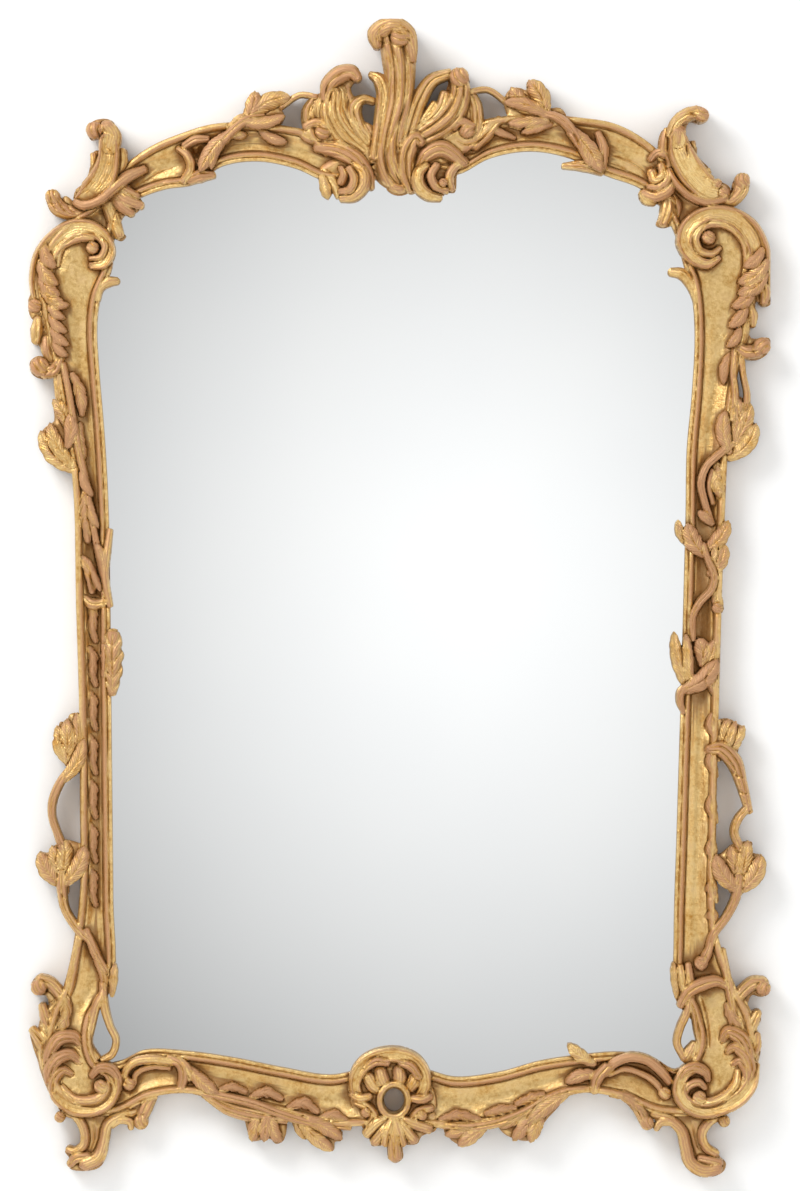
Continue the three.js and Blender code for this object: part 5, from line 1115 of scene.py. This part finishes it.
picked = used > 0
count = int(picked.sum())
number = np.full(shape, -1)
number[picked] = np.arange(count)
flat = np.column_stack([(place_across[picked] - MOUNT_ACROSS) * MM, np.zeros(count),
                        (MOUNT_DOWN - place_down[picked]) * MM])
front, back = flat.copy(), flat.copy()
front[:, 1], back[:, 1] = -surface[picked] * MM, -under[picked] * MM
a, b, c, d = number[:-1, :-1][cell], number[:-1, 1:][cell], number[1:, 1:][cell], number[1:, :-1][cell]
faces = [np.column_stack([a, d, c, b]), np.column_stack([a, b, c, d]) + count]
framed = np.pad(cell, 1)
for rows, cols, first, second in (
    (slice(0, -2), slice(1, -1), (0, 0), (0, 1)), (slice(1, -1), slice(0, -2), (1, 0), (0, 0)),
    (slice(2, None), slice(1, -1), (1, 1), (1, 0)), (slice(1, -1), slice(2, None), (0, 1), (1, 1)),
):
    rim = cell & ~framed[rows, cols]
    r, q = np.nonzero(rim)
    p0, p1 = number[r + first[0], q + first[1]], number[r + second[0], q + second[1]]
    faces.append(np.column_stack([p0, p1, p1 + count, p0 + count]))
print("cells", int(cell.sum()), "faces", sum(len(f) for f in faces))


def mesh_of(name, points, quads):
    mesh = bpy.data.meshes.new(name)
    mesh.vertices.add(len(points))
    mesh.vertices.foreach_set("co", points.astype(np.float32).ravel())
    mesh.loops.add(4 * len(quads))
    mesh.loops.foreach_set("vertex_index", quads.astype(np.int32).ravel())
    mesh.polygons.add(len(quads))
    mesh.polygons.foreach_set("loop_start", np.arange(0, 4 * len(quads), 4, dtype=np.int32))
    mesh.update(calc_edges=True)
    return mesh


carving = bpy.data.objects.new("carved_and_gilt_frame", mesh_of(
    "carved_and_gilt_frame", np.concatenate([front, back]), np.concatenate(faces)))
bpy.context.scene.collection.objects.link(carving)

# %% [markdown]
# The mesh has far more faces than its flat back and smooth hollows need. A decimate modifier takes them away where
# they show least. Then the maps are read again at each remaining corner, so that the gilding knows the hollows.

# %% Fewer faces, kept where the carving is fine
TRIANGLES = 194000


def all_of(items, name, wide, kind=np.float32):
    values = np.empty(wide * len(items), kind)
    items.foreach_get(name, values)
    return values.reshape(-1, wide)


thin = carving.modifiers.new("thin", "DECIMATE")
thin.ratio = TRIANGLES / (2 * sum(len(f) for f in faces))
evaluated = carving.evaluated_get(bpy.context.evaluated_depsgraph_get())
full = carving.data
carving.data = bpy.data.meshes.new_from_object(evaluated)
carving.modifiers.clear()
bpy.data.meshes.remove(full)
carving.data.name = "carved_and_gilt_frame"
mesh = carving.data
facing = all_of(mesh.polygons, "normal", 3)[:, 1]
print("faces left", len(facing), "in front", int((facing < -0.25).sum()), "at the back", int((facing > 0.9).sum()))

# %% [markdown]
# Two things are put right on the finished mesh. No corner may stand outside the box of the solid, and a crumb of
# wood that hangs on to nothing is taken out. Corners joined by edges end up with one label, the lowest number
# among them, and only the largest group stays.

# %% Small islands out, and everything kept inside the box of the solid
CLEAR = 0.0002

points = all_of(mesh.vertices, "co", 3)
low, high = np.array(CAD_BOX)
points = np.clip(points, low + CLEAR, high)
mesh.vertices.foreach_set("co", points.ravel())
edges = all_of(mesh.edges, "vertices", 2, np.int32)
label = np.arange(len(points))
while True:
    least = np.minimum(label[edges[:, 0]], label[edges[:, 1]])
    fresh = label.copy()
    np.minimum.at(fresh, edges[:, 0], least)
    np.minimum.at(fresh, edges[:, 1], least)
    fresh = fresh[fresh]
    if (fresh == label).all():
        break
    label = fresh
names, sizes = np.unique(label, return_counts=True)
print("islands", len(names), sorted(sizes)[-4:])
if len(names) > 1:
    bm = bmesh.new()
    bm.from_mesh(mesh)
    bm.verts.ensure_lookup_table()
    keep = names[sizes.argmax()]
    bmesh.ops.delete(bm, geom=[bm.verts[i] for i in np.nonzero(label != keep)[0]], context="VERTS")
    bm.to_mesh(mesh)
    bm.free()

# %% [markdown]
# Each corner of the mesh then learns what the maps say at its place. The gilding reads these values, so its wax,
# the shade painted in its hollows and its worn patches follow the carving at every scale, which a pattern in space
# alone would not do.

# %% What the gilder's materials read at each corner
SHARP = math.radians(52)

points, normals = all_of(mesh.vertices, "co", 3), all_of(mesh.vertices, "normal", 3)
column = np.clip((points[:, 0] / MM + MOUNT_ACROSS - LEFT) / CELL, 0, shape[1] - 1.001)
line = np.clip((MOUNT_DOWN - points[:, 2] / MM - TOP) / CELL, 0, shape[0] - 1.001)


def read(field):
    r, c = line.astype(int), column.astype(int)
    u, v = line - r, column - c
    return ((field[r, c] * (1 - u) + field[r + 1, c] * u) * (1 - v)
            + (field[r, c + 1] * (1 - u) + field[r + 1, c + 1] * u) * v)


facing_front = np.clip(-normals[:, 1] * 2, 0, 1)
for name, values in (
    ("hollow", read(hollow) * facing_front), ("deep", read(deep) * facing_front), ("leafage", read(leafage)),
    ("strokes", read(strokes)), ("bare", normals[:, 1] > 0.5),
):
    attribute = mesh.attributes.new(name, "FLOAT", "POINT")
    attribute.data.foreach_set("value", np.asarray(values, np.float32))
    print(name, "at the corners, on average", round(float(np.mean(values)), 3))
mesh.shade_smooth()
mesh.set_sharp_from_angle(angle=SHARP)
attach(carving, "root")
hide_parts("carved_frame")

# %% [markdown]
# ## Finishes
# Colours are written as sRGB hex values, as a painter would pick them from a swatch, and turned to the linear
# values that the shaders add up. One helper adds a node to a material, sets it and links it. The others are short
# names for what every finish needs: noise of so many millimetres, a blend of two colours, a value spread over a
# range, a sum in which each value has its weight, and the surface itself.

# %% Helpers for materials
def linear(code, alpha=1.0):
    channels = [int(code[i:i + 2], 16) / 255 for i in (1, 3, 5)]
    return tuple(v / 12.92 if v <= 0.04045 else ((v + 0.055) / 1.055) ** 2.4 for v in channels) + (alpha,)


def add(tree, kind, sockets=None, **settings):
    made = tree.nodes.new("ShaderNode" + kind)
    for name, value in settings.items():
        setattr(made, name, value)
    for name, value in (sockets or {}).items():
        socket = made.inputs[name]
        if isinstance(value, bpy.types.NodeSocket):
            tree.links.new(value, socket)
        else:
            socket.default_value = value
    return made


def material(name):
    made = bpy.data.materials.new(name)
    made.use_nodes = True
    made.node_tree.nodes.clear()
    return made, made.node_tree, add(made.node_tree, "TexCoord").outputs["Object"]


def noise(tree, places_at, mm, detail=2.0, **more):
    sockets = {"Vector": places_at, "Scale": 1000.0 / mm, "Detail": detail, **more}
    return add(tree, "TexNoise", sockets).outputs["Fac"]


def blend(tree, factor, first, second):
    second = linear(second)
    first = linear(first) if isinstance(first, str) else first
    return add(tree, "Mix", {"Factor": factor, "A": first, "B": second}, data_type="RGBA").outputs[2]


def spread(tree, value, limits=(0.0, 1.0), to=(0.0, 1.0), kind="LINEAR"):
    return add(tree, "MapRange", {"Value": value, "From Min": limits[0], "From Max": limits[1], "To Min": to[0],
                                  "To Max": to[1]}, interpolation_type=kind).outputs["Result"]


def reckon(tree, operation, *values):
    return add(tree, "Math", dict(enumerate(values)), operation=operation).outputs[0]


def weigh(tree, *parts):
    total = None
    for value, weight in parts:
        rest = [] if total is None else [total]
        total = reckon(tree, "MULTIPLY_ADD" if rest else "MULTIPLY", value, weight, *rest)
    return total


def finish(tree, **sockets):
    shader = add(tree, "BsdfPrincipled", {name.replace("_", " "): value for name, value in sockets.items()})
    add(tree, "OutputMaterial", {"Surface": shader.outputs["BSDF"]})

# %% [markdown]
# ### Water gilding on carved limewood
# Gold leaf a few thousandths of a millimetre thick lies over red-brown clay, called bole, on white gesso. It was
# burnished in the hollows and on the beads, left soft on the leaves, and then rubbed by two centuries of dusting.
# So the leaf is bright and yellow in the hollows, thin and pinkish brown on the high leafage, and old wax has
# darkened the cuts; cuts and hollows are also painted darker, as shade. It is a metal with a rough patch wherever
# the clay shows. The gouge has left fine lines along every form, a little wavy, and lost in the deepest cuts. A
# thin coat of wax lies over all of it.

# %% Gilding
CLOUD, SPECK, FINE = 24, 4, 1.4
GOUGE, WAVY = 2.7, 2.4
RELIEF_DEPTH = 0.0008
MOST_RUBBED, MOST_WAX_AND_SHADE = 0.9, 0.72
# the old wax brown also serves as the painted shade in the cuts and hollows
THIN_GOLD, FULL_GOLD, RUBBED_GOLD, OLD_WAX_AND_SHADE, BARE_WOOD = "#B98437", "#F9DE9C", "#B5825A", "#82501F", "#8C6A45"

gilding, tree, coordinates = material("water gilt leaf over bole")
hollow_at, deep_at, leafage_at, bare_at, strokes_at = (
    add(tree, "Attribute", attribute_name=name).outputs["Fac"]
    for name in ("hollow", "deep", "leafage", "bare", "strokes"))
cloud = noise(tree, coordinates, CLOUD, 4.0, Roughness=0.6)
speck = noise(tree, coordinates, SPECK, 4.0, Roughness=0.65)
fine = noise(tree, coordinates, FINE)
mixed = reckon(tree, "ADD", cloud, speck)

# the fine lines of the gouge
wander = weigh(tree, (strokes_at, 1.0), (speck, WAVY))
wave = reckon(tree, "SINE", reckon(tree, "MULTIPLY", wander, 2 * math.pi / GOUGE))
lines = reckon(tree, "MULTIPLY", wave, spread(tree, hollow_at, (0.5, 0.1)))

# the leaf itself, thicker and thinner
gold = blend(tree, spread(tree, mixed, (0.64, 1.36)), THIN_GOLD, FULL_GOLD)

# rubbed: more on leafage and on high places, broken up by the specks
rubbing = weigh(tree, (hollow_at, -0.45), (leafage_at, 0.34), (lines, 0.12), (mixed, 0.9))
rubbed = spread(tree, rubbing, (0.86, 1.42), (0.0, MOST_RUBBED), "SMOOTHSTEP")
worn = blend(tree, rubbed, gold, RUBBED_GOLD)

# old wax and clay in the cuts, and painted shade darkening the cuts and hollows
wax_and_shade_amount = weigh(tree, (hollow_at, 1.0), (deep_at, 0.3), (lines, -0.16), (speck, 0.6))
wax_and_shade = spread(tree, wax_and_shade_amount, (0.42, 1.35), (0.0, MOST_WAX_AND_SHADE), "SMOOTHSTEP")
waxed_and_shaded = blend(tree, wax_and_shade, worn, OLD_WAX_AND_SHADE)

# where it is dull it is less of a metal, and the back is bare wood
dull = reckon(tree, "MAXIMUM", reckon(tree, "MAXIMUM", rubbed, wax_and_shade), bare_at)
relief = weigh(tree, (fine, 1.0), (speck, 0.9), (lines, 0.42))
bumps = add(tree, "Bump", {"Strength": 0.6, "Distance": RELIEF_DEPTH, "Height": relief}).outputs["Normal"]
finish(tree, Base_Color=blend(tree, bare_at, waxed_and_shaded, BARE_WOOD), Metallic=spread(tree, dull, to=(0.9, 0.3)),
       Roughness=spread(tree, dull, to=(0.34, 0.52)), Normal=bumps, Coat_Weight=0.2, Coat_Roughness=0.3)
carving.data.materials.clear()
carving.data.materials.append(gilding)
print("gilding", len(tree.nodes), "nodes")

# %% [markdown]
# ### Silvered glass
# The plate is glass with silver behind it. Seen from the front, nearly all that shows is the reflection, so the
# solid keeps its shape and gets a metal's mirror finish, a little grey from the iron in the glass.

# %% Mirror plate
silvered, tree, coordinates = material("silvered glass")
tint = blend(tree, noise(tree, coordinates, 240), "#EEF0F1", "#F6F7F6")
finish(tree, Base_Color=tint, Metallic=1.0, Roughness=0.02)

# %% [markdown]
# ### Bare softwood and plain steel
# The board behind the glass is thin planed deal, its grain drawn out along its height, and the hanging plates are
# mild steel that has dulled. Neither shows from the front.

# %% Board and hanging plates
deal, tree, coordinates = material("planed deal")
stretched = add(tree, "Mapping", {"Vector": coordinates, "Scale": (1.0, 1.0, 0.06)}).outputs["Vector"]
finish(tree, Base_Color=blend(tree, noise(tree, stretched, 5, 4.0, Distortion=0.6), "#6E4F33", "#A98258"),
       Roughness=0.75)

steel, tree, coordinates = material("dulled mild steel")
finish(tree, Base_Color=blend(tree, noise(tree, coordinates, 4, 3.0), "#6F6A62", "#A29D93"), Metallic=1.0,
       Roughness=0.45)

for name, look in (("mirror_plate", silvered), ("backing_board", deal), ("hanging_plate_left", steel),
                   ("hanging_plate_right", steel)):
    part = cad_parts[name]
    part.material_slots[0].link = "OBJECT"
    part.material_slots[0].material = look
print("finishes", [m.name for m in bpy.data.materials])

# %% [markdown]
# ## Wall, floor, light and camera
# The mirror hangs on a plain white wall. A mirror shows what faces it, so a large soft screen stands behind the
# camera, bright in the middle and grey towards its edges, as a studio's diffusing screen is. The wall's paint is
# clear from behind, so that a view from the back shows the back of the mirror.

# %% The wall and the floor
def sheet(name, width, height, centre, coating, turn=(0.0, 0.0, 0.0)):
    w, h = width / 2, height / 2
    mesh = bpy.data.meshes.new(name)
    mesh.from_pydata([(-w, -h, 0), (w, -h, 0), (w, h, 0), (-w, h, 0)], [], [(0, 1, 2, 3)])
    made = bpy.data.objects.new(name, mesh)
    made.location, made.rotation_euler = centre, turn
    bpy.context.scene.collection.objects.link(made)
    made.data.materials.append(coating)


UPRIGHT = math.radians(90)
paint, tree, coordinates = material("matt white wall paint")
tint = blend(tree, noise(tree, coordinates, 6), "#F7F7F6", "#F9F9F8")
matt = add(tree, "BsdfPrincipled", {"Base Color": tint, "Roughness": 0.9})
clear = add(tree, "BsdfTransparent")
behind = add(tree, "NewGeometry").outputs["Backfacing"]
one_sided = add(tree, "MixShader", {"Fac": behind, 1: matt.outputs["BSDF"], 2: clear.outputs["BSDF"]})
add(tree, "OutputMaterial", {"Surface": one_sided.outputs["Shader"]})
sheet("wall", 9.0, 7.0, (0, 0.002, 0.9), paint, (UPRIGHT, 0, 0))
sheet("floor", 9.0, 7.0, (0, -3.4, -1.75), paint)
print("wall and floor stand round", CAD_BOX)

# %% [markdown]
# The screen glows by itself. Its brightness falls off from the middle, a little faster across than up and down,
# and this is the soft pale pool that the photograph shows in the glass.

# %% The screen that the mirror reflects
BRIGHT, DIM, SPREAD_POWER, SPREAD_END = 1.16, 0.42, 1.5, 1.3

screen_finish, tree, coordinates = material("lit studio screen")
flattened = add(tree, "Mapping", {"Vector": coordinates, "Scale": (1.0, 0.85, 1.0)}).outputs["Vector"]
distance = add(tree, "VectorMath", {0: flattened}, operation="LENGTH").outputs["Value"]
falloff = spread(tree, reckon(tree, "POWER", distance, SPREAD_POWER), (0.0, SPREAD_END), (BRIGHT, DIM))
glow = add(tree, "Emission", {"Color": linear("#FFFFFF"), "Strength": falloff})
add(tree, "OutputMaterial", {"Surface": glow.outputs["Emission"]})
sheet("studio_screen", 7.0, 6.0, (0.17, -9.0, -0.4), screen_finish, (-UPRIGHT, 0, 0))
print("screen", BRIGHT, "in the middle and", DIM, "at its edges")

# %% [markdown]
# The main light is a big soft one from the upper left, which throws the pale shadow to the right of the frame. A
# weak one from the right and an even light from all round keep the shadows open.

# %% Lights
MIDDLE = (0.0, 0.0, -0.45)


def lamp(name, power, place_at, size):
    light = bpy.data.lights.new(name, "AREA")
    light.energy, light.shape, light.size = power, "DISK", size
    made = bpy.data.objects.new(name, light)
    made.location = place_at
    made.rotation_euler = (Vector(MIDDLE) - Vector(place_at)).to_track_quat("-Z", "Y").to_euler()
    bpy.context.scene.collection.objects.link(made)


lamp("key", 76, (-1.9, -2.0, 1.7), 2.0)
lamp("fill", 16, (2.4, -2.6, 0.2), 2.2)
world = bpy.data.worlds.new("studio")
world.use_nodes = True
world.node_tree.nodes["Background"].inputs["Color"].default_value = linear("#E9EAEC")
world.node_tree.nodes["Background"].inputs["Strength"].default_value = 0.95
bpy.context.scene.world = world
print("lights", [light.name for light in bpy.data.lights])

# %% [markdown]
# The photograph looks straight at the glass, from far enough away that the sides don't splay. One millimetre is
# one pixel of it, so the camera's field is 800 by 1191 millimetres, in a plane near the front of the moulding.

# %% Camera
PICTURE = (800, 1191)
DISTANCE, FIELD_PLANE = 8.0, 0.02
SENSOR = 36.0

camera_data = bpy.data.cameras.new("camera")
camera_data.sensor_fit = "HORIZONTAL"
camera_data.sensor_width = SENSOR
camera_data.lens = SENSOR * (DISTANCE - FIELD_PLANE) / (PICTURE[0] * MM)
camera = bpy.data.objects.new("camera", camera_data)
camera.location = ((PICTURE[0] / 2 - MOUNT_ACROSS) * MM, -DISTANCE, (MOUNT_DOWN - PICTURE[1] / 2) * MM)
camera.rotation_euler = (UPRIGHT, 0, 0)
bpy.context.scene.collection.objects.link(camera)
bpy.context.scene.camera = camera
bpy.context.scene.view_settings.view_transform = "Standard"
print("lens", round(camera_data.lens, 1), "mm")
